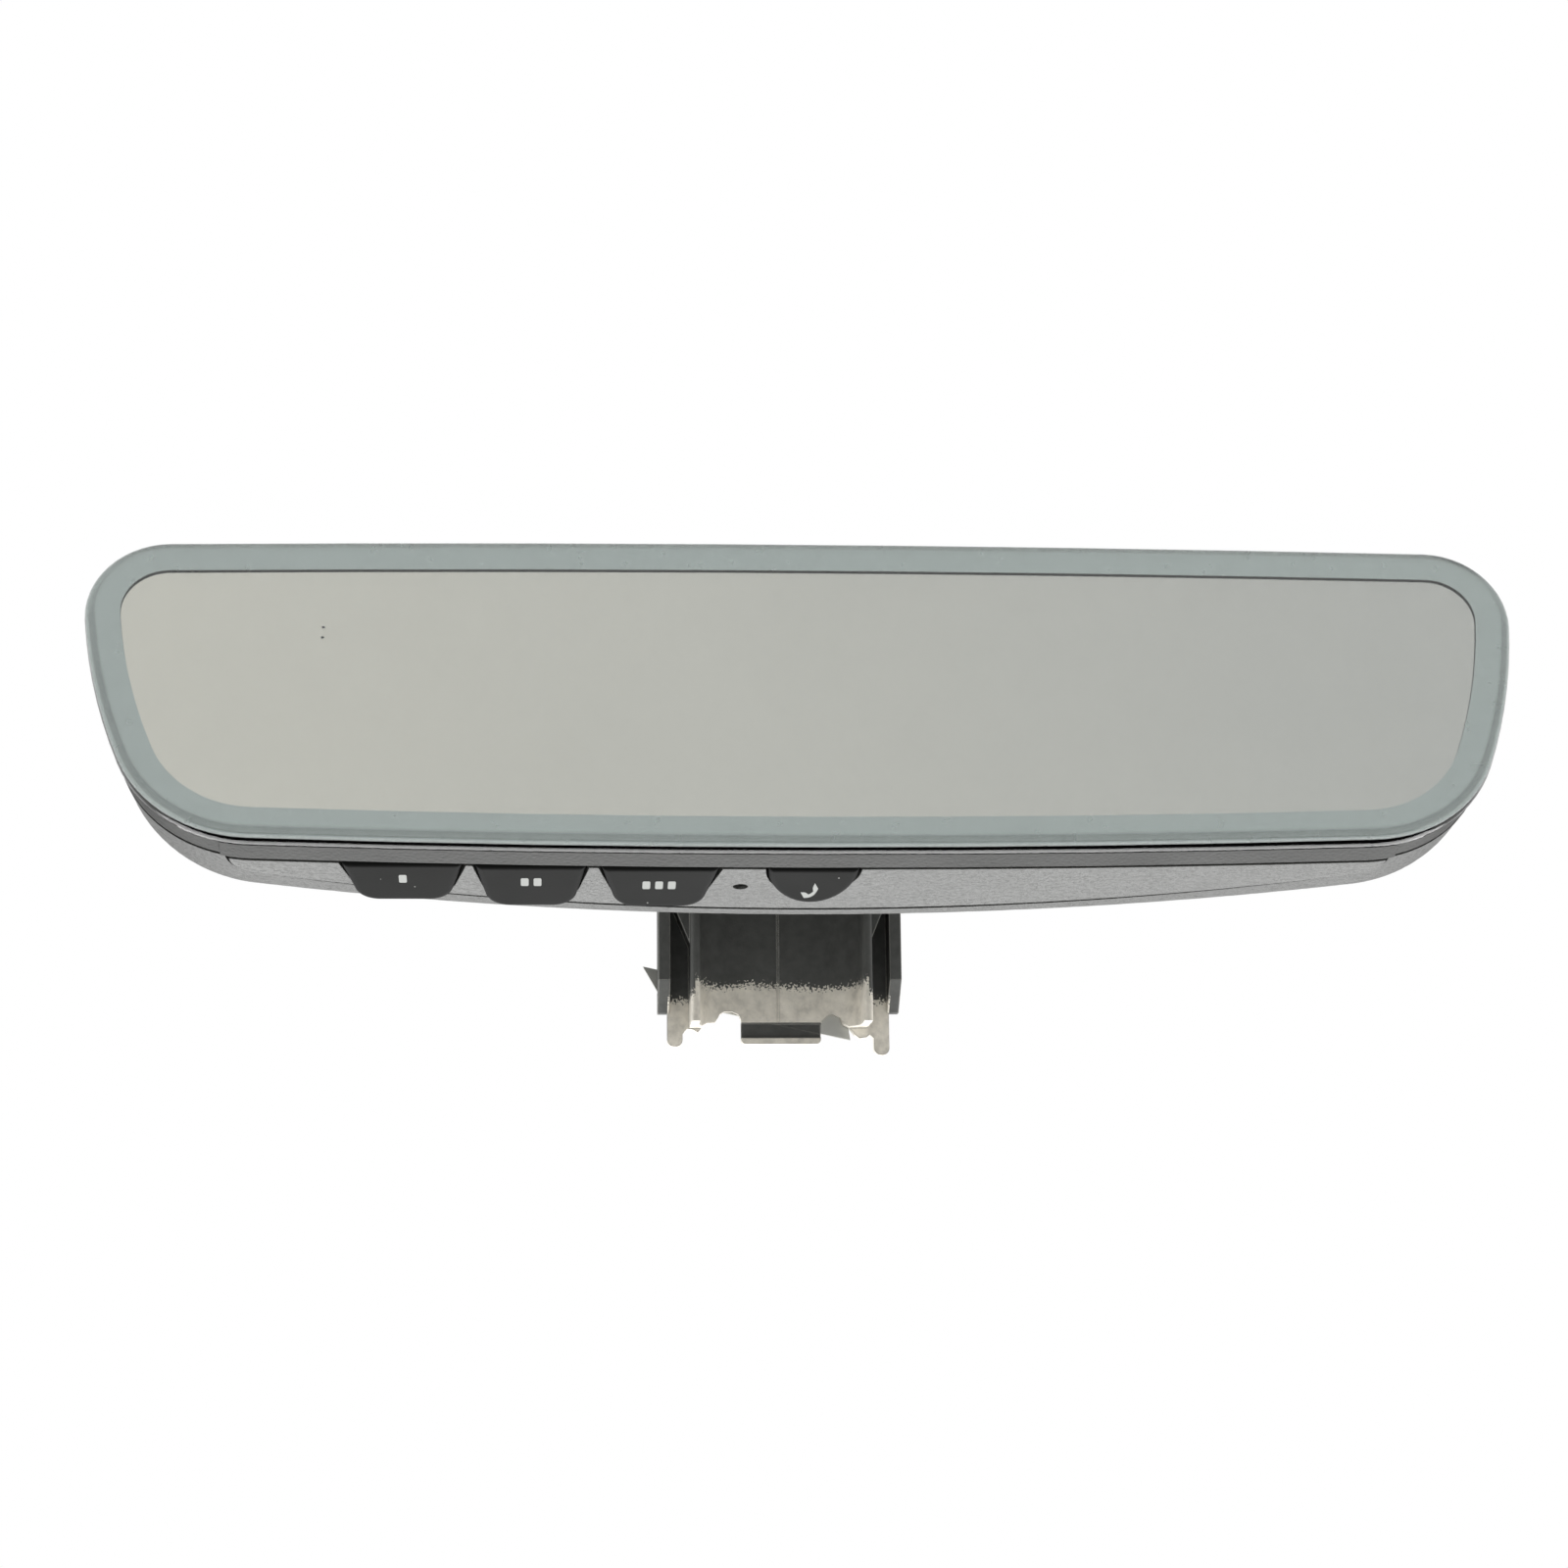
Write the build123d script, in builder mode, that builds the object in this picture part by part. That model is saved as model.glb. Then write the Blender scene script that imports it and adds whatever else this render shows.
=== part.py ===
from build123d import *

import os
from math import cos, radians, sin, sqrt, tan

os.makedirs("parts", exist_ok=True)

# Frame: +X to the driver's right, +Z up, -Y toward the driver, in millimetres.
# The origin is the middle of the face that seats on the windscreen button.
# Depths are measured back from the front of the glass, heights from its middle.

# Where the glass and the ball joint stand
glass_distance = 100.6
glass_drop = 7.05
ball_depth = 36.0

# Outline of the glass
glass_width = 260.3
glass_height = 65.1
ring_width = 5.75
window_shrink = 0.55
window_lift = 0.55
corner_lead = 0.61
bottom_taper = 14.1
top_sag = 1.18
bottom_sag = 2.11
side_bulge = 3.36
top_corner = 9.0
bottom_corner = 20.7

# Glass stack
front_thickness = 3.0
edge_round = 2.5
ring_thickness = 0.15
film_gap = 0.02
cell_gap = 0.3
rear_thickness = 1.6
foam_thickness = 0.8
ring_inset = 0.6
rear_inset = 3.6
seal_width = 1.4
seal_inset = 3.8
clip_thickness = 0.3
clip_gap = 0.05
clip_length = 120.0
foam_inset = 6.5
foam_clearance = 1.0

# Bezel, housing and switch panel
body_inset = 0.8
bezel_shadow_gap = 0.8
bezel_rim = 1.8
bezel_plate = 2.0
bezel_strip = 5.0
bezel_groove = 0.7
tongue_depth = 2.4
tongue_wall = 1.5
tongue_gap = 0.3
head_depth = 35.0
end_depth = 15.0
draft = 8.0
panel_draft = 9.5
wall = 2.0
rear_round = 4.0
inner_round = 2.2
panel_proud = 0.5
panel_wall = 3.0
panel_half = 102.6
panel_depth = 29.2
panel_sag = 12.1
panel_sag_at = 92.0
panel_corner = 6.0
panel_seam = 0.7
panel_lip = 1.2
panel_lip_reach = 3.0
panel_lip_gap = 0.15
step_ramp = 1.5
cut_margin = 1.0

# Buttons
button_gap = 0.35
button_tuck = 0.1
button_round = 1.1
button_travel = 0.6
button_stem = 2.2
button_stop_gap = 0.45
ear_reach = 0.9
ear_thickness = 1.2
ear_start = 1.6
ear_length = 5.0
press_back = 6.0
plunger_radius = 1.2
plunger_out = 0.8
plunger_gap = 0.06
switch_size = 6.0
switch_height = 2.0
switch_corner = 0.6
switch_board_thickness = 1.2
switch_board_margin = 4.0
switch_board_start = 2.0
switch_board_width = 11.0
switch_board_corner = 1.0

# Each button's middle, half widths at the front and back, length and corner radius
button_specs = {
    "button_one": (-72.5, 10.75, 7.9, 13.2, 4.4),
    "button_two": (-50.0, 9.9, 7.5, 14.5, 4.4),
    "button_three": (-27.2, 10.6, 7.5, 14.3, 4.4),
    "button_call": (-0.1, 8.2, 0.0, 12.6, 0.0),
}

# Microphone
microphone_x = -12.7
microphone_back = 9.0
microphone_hole = 1.35
microphone_radius = 2.0
microphone_height = 1.5
microphone_port = 0.7
microphone_port_depth = 0.5
boot_wall = 0.9

# Electronics
board_width = 150.0
board_height = 34.0
board_lift = 3.0
board_thickness = 1.6
board_gap = 2.6
board_corner = 3.0
post_radius = 3.0
post_inset = 5.0
post_bite = 1.0
screw_radius = 1.2
screw_head = 2.3
screw_head_height = 1.4
shield_x = 46.0
shield_width = 34.0
shield_height = 22.0
shield_depth = 4.0
shield_corner = 1.0
shield_round = 0.6
chip_size = 9.0
chip_depth = 1.4
chip_x = 14.0
plug_x = -44.0
plug_lift = 5.0
plug_width = 18.0
plug_height = 9.0
plug_wall = 1.2
plug_recess = 1.5
plug_gap = 0.5
plug_room = 11.0
plug_corner = 0.8
pin_side = 0.64
pin_pitch = 2.54
pin_length = 6.0
pin_columns = 5
link_x = -55.0
link_width = 16.0
link_depth = 2.5
link_lap = 2.0
link_gap = 0.9
sensor_x = 40.0
sensor_lift = 15.0
sensor_radius = 2.6
sensor_gap = 0.15
sensor_recess = 0.4
sensor_round = 0.5
glare_lift = 12.0

# Ball joint
ball_radius = 8.5
neck_radius = 4.5
shank_radius = 4.0
stud_reach = 16.0
shank_length = 13.0
stud_flange = 6.2
flange_thickness = 2.0
fit_gap = 0.05
liner_wall = 1.75
spring_wall = 0.9
liner_open = 62.0
spring_open = 70.0
spring_end = 128.0
spring_slots = 6
spring_slot = 1.2
seat_open = 56.0
seat_wall = 2.6
pole_hole = 12.0
collar_wall = 1.6
collar_skirt = 4.0
collar_back = 7.4
collar_round = 1.2
pivot_width = 62.0
pivot_height = 28.0
pivot_plate_depth = 23.5
pivot_thickness = 2.6
pivot_corner = 3.0
cup_trim = 0.4
pivot_screw_x = 25.0
pivot_screw_z = 9.5
pivot_boss = 3.6
pivot_screw_bite = 3.2
screw_tip_gap = 0.3
housing_hole_gap = 0.6

# Mount casting, measured on the seat: u across, v down the seat, w toward the driver
rake = 20.0
floor_thickness = 2.4
floor_top = 34.0
floor_bottom = 22.0
floor_half = 16.5
rim_wall = 1.8
rim_height = 15.0
rim_round = 0.9
pocket_half = 22.3
flange_wall = 2.4
flange_height = 9.5
flange_bottom = 13.0
flange_cut = 6.0
wall_blend = 6.5
leg_inner = 19.6
leg_outer = 22.7
leg_tips = (25.8, 27.6)
foot_end = 24.3
tab_left = -7.6
tab_right = 8.7
tab_bottom = 25.3
tab_recess = 1.0
tab_lip = 1.3
tab_recess_top = 21.0
leg_round = 1.4
tab_round = 1.0
gusset_top = -8.0
gusset_bottom = 7.0
gusset_height = 9.0
gusset_bite = 0.6
gusset_land = 2.5
seam_ridge = 0.2
arm_width = 33.0
arm_height = 24.0
arm_rise = 15.0
arm_corner = 6.0
arm_root_flat = 0.5
boss_radius = 8.5
boss_length = 12.0

# Retaining spring behind the seat
strip_thickness = 1.2
strip_gap = 0.2
strip_corners = [(-27.6, 9.2), (-23.7, 16.0), (14.8, 24.4), (13.9, 18.4)]

# Broken edge of the floor's foot on each side of the tab, as u and v
foot_left = [
    (-19.6, 23.2),
    (-18.8, 22.2),
    (-17.5, 22.3),
    (-16.5, 22.9),
    (-15.8, 22.0),
    (-14.8, 21.3),
    (-13.1, 21.0),
    (-12.4, 20.0),
    (-12.0, 19.2),
    (-11.1, 18.7),
    (-9.4, 18.7),
    (-8.1, 19.3),
    (-7.6, 20.3),
]
foot_right = [
    (8.7, 21.4),
    (9.1, 20.4),
    (10.3, 19.4),
    (11.3, 19.2),
    (12.7, 20.0),
    (13.3, 21.4),
    (14.6, 22.1),
    (15.6, 23.4),
    (16.6, 24.2),
    (18.0, 24.0),
    (18.7, 23.4),
    (19.6, 24.2),
]

# Worked out from the sizes above
half_width = glass_width / 2
half_height = glass_height / 2
inner_half_height = half_height - ring_width
top_half = half_width - ring_width + corner_lead
bottom_half = top_half - bottom_taper
bottom_radius = (bottom_half**2 + bottom_sag**2) / (2 * bottom_sag)
ring_front = front_thickness + film_gap
cell_front = ring_front + ring_thickness + film_gap
rear_front = cell_front + cell_gap + film_gap
foam_front = rear_front + rear_thickness
plate_front = foam_front + foam_thickness
plate_back = plate_front + bezel_plate
rim_front = front_thickness + bezel_shadow_gap
strip_back = rim_front + bezel_strip - bezel_shadow_gap / 2
shell_front = strip_back + bezel_groove
board_front = plate_back + board_gap
board_back = board_front + board_thickness
end_sag = head_depth - end_depth
rear_radius = (half_width**2 + end_sag**2) / (2 * end_sag)
seam_radius = (panel_sag_at**2 + panel_sag**2) / (2 * panel_sag)
ball_y = ball_depth - glass_distance
liner_radius = ball_radius + fit_gap + liner_wall
spring_radius = liner_radius + fit_gap + spring_wall
seat_radius = spring_radius + fit_gap
cup_radius = seat_radius + seat_wall
collar_radius = cup_radius + fit_gap + collar_wall
ear_back = panel_wall + button_stop_gap + ear_thickness


def row_y(depth):
    """Row Y of a depth behind the front of the glass."""
    return depth - glass_distance


def across_head(depth):
    """Plane across the head at a depth; its normal points at the driver."""
    return Plane(origin=(0, row_y(depth), -glass_drop), x_dir=(1, 0, 0), z_dir=(0, -1, 0))


def meeting(centre_a, radius_a, centre_b, radius_b):
    """Where two circles meet, on the right of the line from the first centre to the second."""
    gap = centre_b - centre_a
    along = (gap.length**2 + radius_a**2 - radius_b**2) / (2 * gap.length)
    aside = sqrt(radius_a**2 - along**2)
    unit = gap.normalized()
    return centre_a + unit * along + Vector(unit.Y, -unit.X) * aside


def head_outline(grow):
    """Outline of the head, grown by `grow` from the edge of the glass."""
    top_y = inner_half_height - top_sag
    bottom_y = -inner_half_height + bottom_sag
    top_radius = (top_half**2 + top_sag**2) / (2 * top_sag)
    top_centre = Vector(0, inner_half_height - top_radius)
    bottom_centre = Vector(0, -inner_half_height + bottom_radius)
    side = Vector(bottom_half - top_half, bottom_y - top_y)
    side_radius = (side.length**2 / 4 + side_bulge**2) / (2 * side_bulge)
    inward = Vector(side.Y, -side.X).normalized()
    side_middle = Vector((top_half + bottom_half) / 2, (top_y + bottom_y) / 2)
    side_centre = side_middle + inward * (side_radius - side_bulge)
    upper = meeting(top_centre, top_radius - top_corner, side_centre, side_radius - top_corner)
    lower = meeting(side_centre, side_radius - bottom_corner, bottom_centre, bottom_radius - bottom_corner)

    def on_circle(centre, radius, toward):
        return centre + (toward - centre).normalized() * (radius + ring_width + grow)

    a = on_circle(top_centre, top_radius, upper)
    b = on_circle(side_centre, side_radius, upper)
    c = on_circle(side_centre, side_radius, lower)
    d = on_circle(bottom_centre, bottom_radius, lower)
    upper_middle = on_circle(upper, top_corner, upper + (a - upper) + (b - upper))
    side_bow = on_circle(side_centre, side_radius, (b + c) / 2)
    lower_middle = on_circle(lower, bottom_corner, lower + (c - lower) + (d - lower))

    def mirrored(spot):
        return Vector(-spot.X, spot.Y)

    with BuildSketch() as outline:
        with BuildLine():
            ThreePointArc(mirrored(a), (0, inner_half_height + ring_width + grow), a)
            ThreePointArc(a, upper_middle, b)
            ThreePointArc(b, side_bow, c)
            ThreePointArc(c, lower_middle, d)
            ThreePointArc(d, (0, -inner_half_height - ring_width - grow), mirrored(d))
            ThreePointArc(mirrored(d), mirrored(lower_middle), mirrored(c))
            ThreePointArc(mirrored(c), mirrored(side_bow), mirrored(b))
            ThreePointArc(mirrored(b), mirrored(upper_middle), mirrored(a))
        make_face()
    return outline.sketch


def window_outline(grow):
    """Outline of the clear window inside the ring, which stands a little higher than the glass."""
    return head_outline(grow - ring_width - window_shrink).moved(Location((0, window_lift)))


def head_form(grow, shorter, rounding, lean=draft):
    """Drafted body of the head, cut at the back to the arc seen in plan."""
    reach = half_width + 10
    back = row_y(head_depth - shorter)
    turn = rear_radius - shorter
    sag = turn - sqrt(turn**2 - reach**2)
    with BuildPart() as form:
        with BuildSketch(across_head(shell_front)):
            add(head_outline(grow))
        with BuildSketch(across_head(shell_front + head_depth)):
            add(head_outline(grow - head_depth * tan(radians(lean))))
        loft(ruled=True)
        with BuildSketch(Plane.XY.offset(-glass_drop)):
            with BuildLine():
                Polyline((-reach, back - sag), (-reach, row_y(0)), (reach, row_y(0)), (reach, back - sag))
                ThreePointArc((reach, back - sag), (0, back), (-reach, back - sag))
            make_face()
        extrude(amount=half_height * 2, both=True, mode=Mode.INTERSECT)
        fillet(form.faces().sort_by(Axis.Y)[-1].edges(), rounding)
    return form.part


def panel_region(grow):
    """Plan of the switch panel, its ends and back grown by `grow`."""
    half = panel_half + grow
    back = row_y(panel_depth + grow)
    turn = seam_radius + grow
    end = back - turn + sqrt(turn**2 - half**2)
    with BuildSketch() as region:
        with BuildLine():
            Polyline((-half, end), (-half, row_y(shell_front)), (half, row_y(shell_front)), (half, end))
            ThreePointArc((half, end), (0, back), (-half, end))
        make_face()
        rear_corners = region.vertices().filter_by(lambda v: v.Y > row_y(shell_front) + 0.01)
        fillet(rear_corners, panel_corner + grow)
    return region.sketch


def bottom_rise(x):
    """How far the underside's arc has risen at x, from its lowest point in the middle."""
    return bottom_radius - sqrt(bottom_radius**2 - x**2)


def underside(x):
    """Plane on the switch panel's outer face at x: Y runs back along it, Z runs inward."""
    height = -half_height + body_inset - panel_proud + bottom_rise(x)
    tilt = radians(draft)
    return Plane(
        origin=(x, row_y(shell_front), height - glass_drop),
        x_dir=(1, 0, 0),
        z_dir=(0, -sin(tilt), cos(tilt)),
    )


def switch_level(x, inward):
    """Plane at x that lies a common way inward from the panel's middle, whatever the rise."""
    return underside(x).offset(inward - bottom_rise(x) * cos(radians(draft)))


def on_seat(w):
    """Plane parallel to the seat at height w; its Y runs up the seat."""
    tilt = radians(rake)
    return Plane(origin=(0, -w * cos(tilt), -w * sin(tilt)), x_dir=(1, 0, 0), z_dir=(0, -cos(tilt), -sin(tilt)))


def save(part, name):
    """Label a finished piece and write it as its own node."""
    part.label = name
    export_step(part, f"parts/{name}.step")


# --- Glass stack ---

with BuildPart() as glass_front:
    with BuildSketch(across_head(0)):
        add(head_outline(0))
    extrude(amount=-front_thickness)
    fillet(glass_front.faces().sort_by(Axis.Y)[0].edges(), edge_round)
save(glass_front.part, "glass_front")

with BuildPart() as perimeter_ring:
    with BuildSketch(across_head(ring_front)):
        add(head_outline(-ring_inset))
        add(window_outline(0), mode=Mode.SUBTRACT)
    extrude(amount=-ring_thickness)
save(perimeter_ring.part, "perimeter_ring")

with BuildPart() as cell_seal:
    with BuildSketch(across_head(cell_front)):
        add(head_outline(-seal_inset))
        add(head_outline(-seal_inset - seal_width), mode=Mode.SUBTRACT)
    extrude(amount=-cell_gap)
save(cell_seal.part, "cell_seal")

with BuildPart() as ec_gel:
    with BuildSketch(across_head(cell_front)):
        add(head_outline(-seal_inset - seal_width))
    extrude(amount=-cell_gap)
    with BuildSketch(across_head(ring_front)):
        add(window_outline(-film_gap))
    extrude(amount=-(cell_front - ring_front))
save(ec_gel.part, "ec_gel")

with BuildPart() as glass_rear:
    with BuildSketch(across_head(rear_front)):
        add(head_outline(-rear_inset))
    extrude(amount=-rear_thickness)
save(glass_rear.part, "glass_rear")

with BuildPart() as bus_clips:
    with BuildSketch(across_head(rear_front)):
        add(head_outline(-rear_inset + clip_gap + clip_thickness))
        add(head_outline(-rear_inset + clip_gap), mode=Mode.SUBTRACT)
        Rectangle(clip_length, glass_height, mode=Mode.INTERSECT)
    extrude(amount=-rear_thickness)
save(bus_clips.part, "bus_clips")

with BuildPart() as foam_pad:
    with BuildSketch(across_head(foam_front)):
        add(head_outline(-foam_inset))
        with Locations((0, glare_lift)):
            Circle(sensor_radius + foam_clearance, mode=Mode.SUBTRACT)
    extrude(amount=-foam_thickness)
save(foam_pad.part, "foam_pad")

# --- Front bezel: the carrier plate with its visible rim ---

post_places = [
    (x, board_lift + z)
    for x in (-board_width / 2 + post_inset, board_width / 2 - post_inset)
    for z in (-board_height / 2 + post_inset, board_height / 2 - post_inset)
]
step_low = -half_height + body_inset
with BuildPart() as front_bezel:
    with BuildSketch(across_head(rim_front)):
        add(head_outline(-body_inset))
    extrude(amount=-(strip_back - rim_front))
    with BuildSketch(across_head(rim_front)):
        add(head_outline(-body_inset + panel_proud))
        with BuildLine():
            Polyline(
                (-panel_half - step_ramp, step_low + 4 * panel_proud),
                (-panel_half + step_ramp / 2, step_low - 2 * panel_proud),
                (panel_half - step_ramp / 2, step_low - 2 * panel_proud),
                (panel_half + step_ramp, step_low + 4 * panel_proud),
                close=True,
            )
        make_face(mode=Mode.INTERSECT)
    extrude(amount=-(strip_back - rim_front))
    with BuildSketch(across_head(rim_front)):
        add(head_outline(-body_inset - bezel_rim))
    extrude(amount=-(plate_front - rim_front), mode=Mode.SUBTRACT)
    with BuildSketch(across_head(plate_back)):
        add(head_outline(-body_inset - bezel_rim))
    extrude(amount=-(strip_back - plate_back), mode=Mode.SUBTRACT)
    with BuildSketch(across_head(plate_back)):
        add(head_outline(-body_inset - wall - tongue_gap))
        add(head_outline(-body_inset - wall - tongue_gap - tongue_wall), mode=Mode.SUBTRACT)
        with Locations((0, -half_height)):
            Rectangle(2 * (panel_half + panel_lip_reach + cut_margin), half_height, mode=Mode.SUBTRACT)
    extrude(amount=-(strip_back + tongue_depth - plate_back))
    with BuildSketch(across_head(plate_back)):
        with Locations(*post_places):
            Circle(post_radius)
    extrude(amount=-board_gap)
    with BuildSketch(across_head(board_front)):
        with Locations(*post_places):
            Circle(screw_radius + fit_gap)
    extrude(amount=board_gap + post_bite, mode=Mode.SUBTRACT)
    with BuildSketch(across_head(plate_front)):
        with Locations((0, glare_lift)):
            Circle(sensor_radius + sensor_gap)
    extrude(amount=-bezel_plate, mode=Mode.SUBTRACT)
save(front_bezel.part, "front_bezel")

# --- Shell pieces ---


def button_outline(half_front, half_back, length, corner, grow):
    """Outline of a button on the panel's underside, its front edge under the bezel."""
    with BuildSketch() as outline:
        if half_back > 0:
            with BuildLine():
                Polyline(
                    (-half_front, button_tuck),
                    (half_front, button_tuck),
                    (half_back, length),
                    (-half_back, length),
                    close=True,
                )
            make_face()
            fillet(outline.vertices().group_by(Axis.Y)[-1], corner)
        else:
            with Locations((0, button_tuck - grow)):
                Ellipse(half_front + grow, length - button_tuck + 2 * grow)
            with Locations((0, button_tuck - grow)):
                Rectangle(4 * half_front, 2 * length, align=(Align.CENTER, Align.MIN), mode=Mode.INTERSECT)
        if half_back > 0 and grow > 0:
            offset(amount=grow, kind=Kind.INTERSECTION)
    return outline.sketch


with BuildPart() as button_wells:
    for x, half_front, half_back, length, corner in button_specs.values():
        with BuildSketch(underside(x).offset(-panel_wall)):
            add(button_outline(half_front, half_back, length, corner, button_gap))
        extrude(amount=2 * panel_wall + panel_lip + cut_margin)

outer_form = head_form(-body_inset, 0, rear_round)
inner_form = head_form(-body_inset - wall, wall, inner_round)
proud_form = head_form(panel_proud - body_inset, 0, rear_round, panel_draft)
panel_inner_form = head_form(panel_proud - body_inset - panel_wall, wall, inner_round)
lip_outer_form = head_form(-body_inset - wall - panel_lip_gap, wall, inner_round)
lip_inner_form = head_form(-body_inset - wall - panel_lip_gap - panel_lip, wall, inner_round)
panel_top = -glass_drop - half_height + body_inset + wall + tan(radians(draft)) * head_depth
plug_places = (plug_x, plug_lift)
sensor_place = (sensor_x, sensor_lift)
screw_corners = [(x, z) for x in (-pivot_screw_x, pivot_screw_x) for z in (-pivot_screw_z, pivot_screw_z)]
pivot_back = pivot_plate_depth + pivot_thickness

with BuildPart() as rear_housing:
    add(outer_form)
    add(inner_form, mode=Mode.SUBTRACT)
    with BuildSketch(across_head(pivot_back)):
        with Locations(*screw_corners):
            Circle(pivot_boss)
    extrude(amount=-(head_depth - pivot_back))
    add(outer_form, mode=Mode.INTERSECT)
    with BuildSketch(Plane.XY.offset(panel_top)):
        add(panel_region(panel_seam))
    extrude(amount=-2 * half_height, mode=Mode.SUBTRACT)
    add(button_wells.part, mode=Mode.SUBTRACT)
    with BuildSketch(across_head(shell_front)):
        Circle(collar_radius + housing_hole_gap)
        with Locations(plug_places):
            Rectangle(plug_width + 2 * plug_gap, plug_height + 2 * plug_gap)
        with Locations(sensor_place):
            Circle(sensor_radius + sensor_gap)
    extrude(amount=-2 * head_depth, mode=Mode.SUBTRACT)
    with BuildSketch(across_head(pivot_back)):
        with Locations(*screw_corners):
            Circle(screw_radius + fit_gap)
    extrude(amount=-pivot_screw_bite - screw_tip_gap, mode=Mode.SUBTRACT)
save(rear_housing.part, "rear_housing")

with BuildPart() as switch_panel:
    add(proud_form)
    add(panel_inner_form, mode=Mode.SUBTRACT)
    with BuildSketch(Plane.XY.offset(panel_top)):
        add(panel_region(0))
    extrude(amount=-2 * half_height, mode=Mode.INTERSECT)
with BuildPart() as panel_flange:
    add(lip_outer_form)
    add(lip_inner_form, mode=Mode.SUBTRACT)
    with BuildSketch(Plane.XY.offset(panel_top)):
        add(panel_region(panel_lip_reach))
    extrude(amount=-2 * half_height, mode=Mode.INTERSECT)
    with BuildSketch(Plane.XY.offset(panel_top)):
        add(panel_region(-panel_lip_reach))
    extrude(amount=-2 * half_height, mode=Mode.SUBTRACT)
    with BuildSketch(across_head(0)):
        Rectangle(glass_width, glass_height)
    extrude(amount=-(strip_back + tongue_depth + cut_margin), mode=Mode.SUBTRACT)
with switch_panel:
    add(panel_flange.part)
    add(button_wells.part, mode=Mode.SUBTRACT)
    with BuildSketch(underside(microphone_x).offset(-panel_wall)):
        with Locations((0, microphone_back)):
            Circle(microphone_hole)
    extrude(amount=2 * panel_wall + cut_margin, mode=Mode.SUBTRACT)
save(switch_panel.part, "switch_panel")

# --- Buttons, with the switches they press ---

switch_places = [spec[0] for spec in button_specs.values()]
highest_rise = max(bottom_rise(x) for x in switch_places) * cos(radians(draft))
switch_front = ear_back + button_stem + highest_rise
switch_back = switch_front + switch_height
switch_bed = switch_back + switch_board_thickness

for name, (x, half_front, half_back, length, corner) in button_specs.items():
    plane = underside(x)
    with BuildPart() as button:
        with BuildSketch(plane.offset(-panel_wall)):
            add(button_outline(half_front, half_back, length, corner, 0))
        extrude(amount=panel_wall + ear_back)
        with BuildSketch(plane.offset(ear_back - ear_thickness)):
            add(button_outline(half_front, half_back, length, corner, ear_reach))
            with Locations((0, ear_start)):
                Rectangle(4 * half_front, ear_length, align=(Align.CENTER, Align.MIN), mode=Mode.INTERSECT)
        extrude(amount=ear_thickness)
        split(bisect_by=Plane(origin=plane.origin), keep=Keep.TOP)
        fillet(button.faces().sort_by(Axis.Z)[0].edges(), button_round)
        with BuildSketch(switch_level(x, switch_front - plunger_out)):
            with Locations((0, press_back)):
                Circle(2 * plunger_radius)
        extrude(until=Until.PREVIOUS)
    save(button.part, name)
    with BuildPart() as plunger:
        with BuildSketch(switch_level(x, switch_front - plunger_out)):
            with Locations((0, press_back)):
                Circle(plunger_radius)
        extrude(amount=plunger_out + switch_height / 2 - button_travel)
    save(plunger.part, name.replace("button", "plunger"))

with BuildPart() as tact_switches:
    for x in switch_places:
        with BuildSketch(switch_level(x, switch_front)):
            with Locations((0, press_back)):
                RectangleRounded(switch_size, switch_size, switch_corner)
        extrude(amount=switch_height)
        with BuildSketch(switch_level(x, switch_front)):
            with Locations((0, press_back)):
                Circle(plunger_radius + plunger_gap)
        extrude(amount=switch_height / 2 + plunger_gap, mode=Mode.SUBTRACT)
save(tact_switches.part, "tact_switches")

board_low = min(switch_places) - switch_size / 2 - switch_board_margin
board_high = max(switch_places) + switch_size / 2 + switch_board_margin
switch_board_length = board_high - board_low
with BuildPart() as switch_board:
    with BuildSketch(underside(0).offset(switch_back)):
        with Locations(((board_low + board_high) / 2, switch_board_start + switch_board_width / 2)):
            RectangleRounded(switch_board_length, switch_board_width, switch_board_corner)
    extrude(amount=switch_board_thickness)
save(switch_board.part, "switch_board")

# --- Microphone in its boot ---

microphone_place = (0, microphone_back)
with BuildPart() as microphone:
    with BuildSketch(switch_level(microphone_x, switch_back)):
        with Locations(microphone_place):
            Circle(microphone_radius)
    extrude(amount=-microphone_height)
    with BuildSketch(switch_level(microphone_x, switch_back - microphone_height)):
        with Locations(microphone_place):
            Circle(microphone_port)
    extrude(amount=microphone_port_depth, mode=Mode.SUBTRACT)
save(microphone.part, "microphone")

with BuildPart() as microphone_boot:
    with BuildSketch(underside(microphone_x).offset(panel_wall + panel_lip_gap)):
        with Locations(microphone_place):
            Circle(microphone_radius + boot_wall)
    extrude(amount=switch_back - panel_wall - 2 * panel_lip_gap)
    with BuildSketch(underside(microphone_x)):
        with Locations(microphone_place):
            Circle(microphone_hole)
    extrude(amount=switch_back, mode=Mode.SUBTRACT)
    with BuildSketch(switch_level(microphone_x, switch_back)):
        with Locations(microphone_place):
            Circle(microphone_radius + fit_gap)
    extrude(amount=-microphone_height - fit_gap, mode=Mode.SUBTRACT)
save(microphone_boot.part, "microphone_boot")

# --- Main board and what it carries ---


def rear_surface(x):
    """Depth of the housing's outer back at x."""
    return head_depth - rear_radius + sqrt(rear_radius**2 - x**2)


with BuildPart() as circuit_board:
    with BuildSketch(across_head(board_front)):
        with Locations((0, board_lift)):
            RectangleRounded(board_width, board_height, board_corner)
        with Locations(*post_places):
            Circle(screw_radius + fit_gap, mode=Mode.SUBTRACT)
    extrude(amount=-board_thickness)
save(circuit_board.part, "circuit_board")

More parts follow.
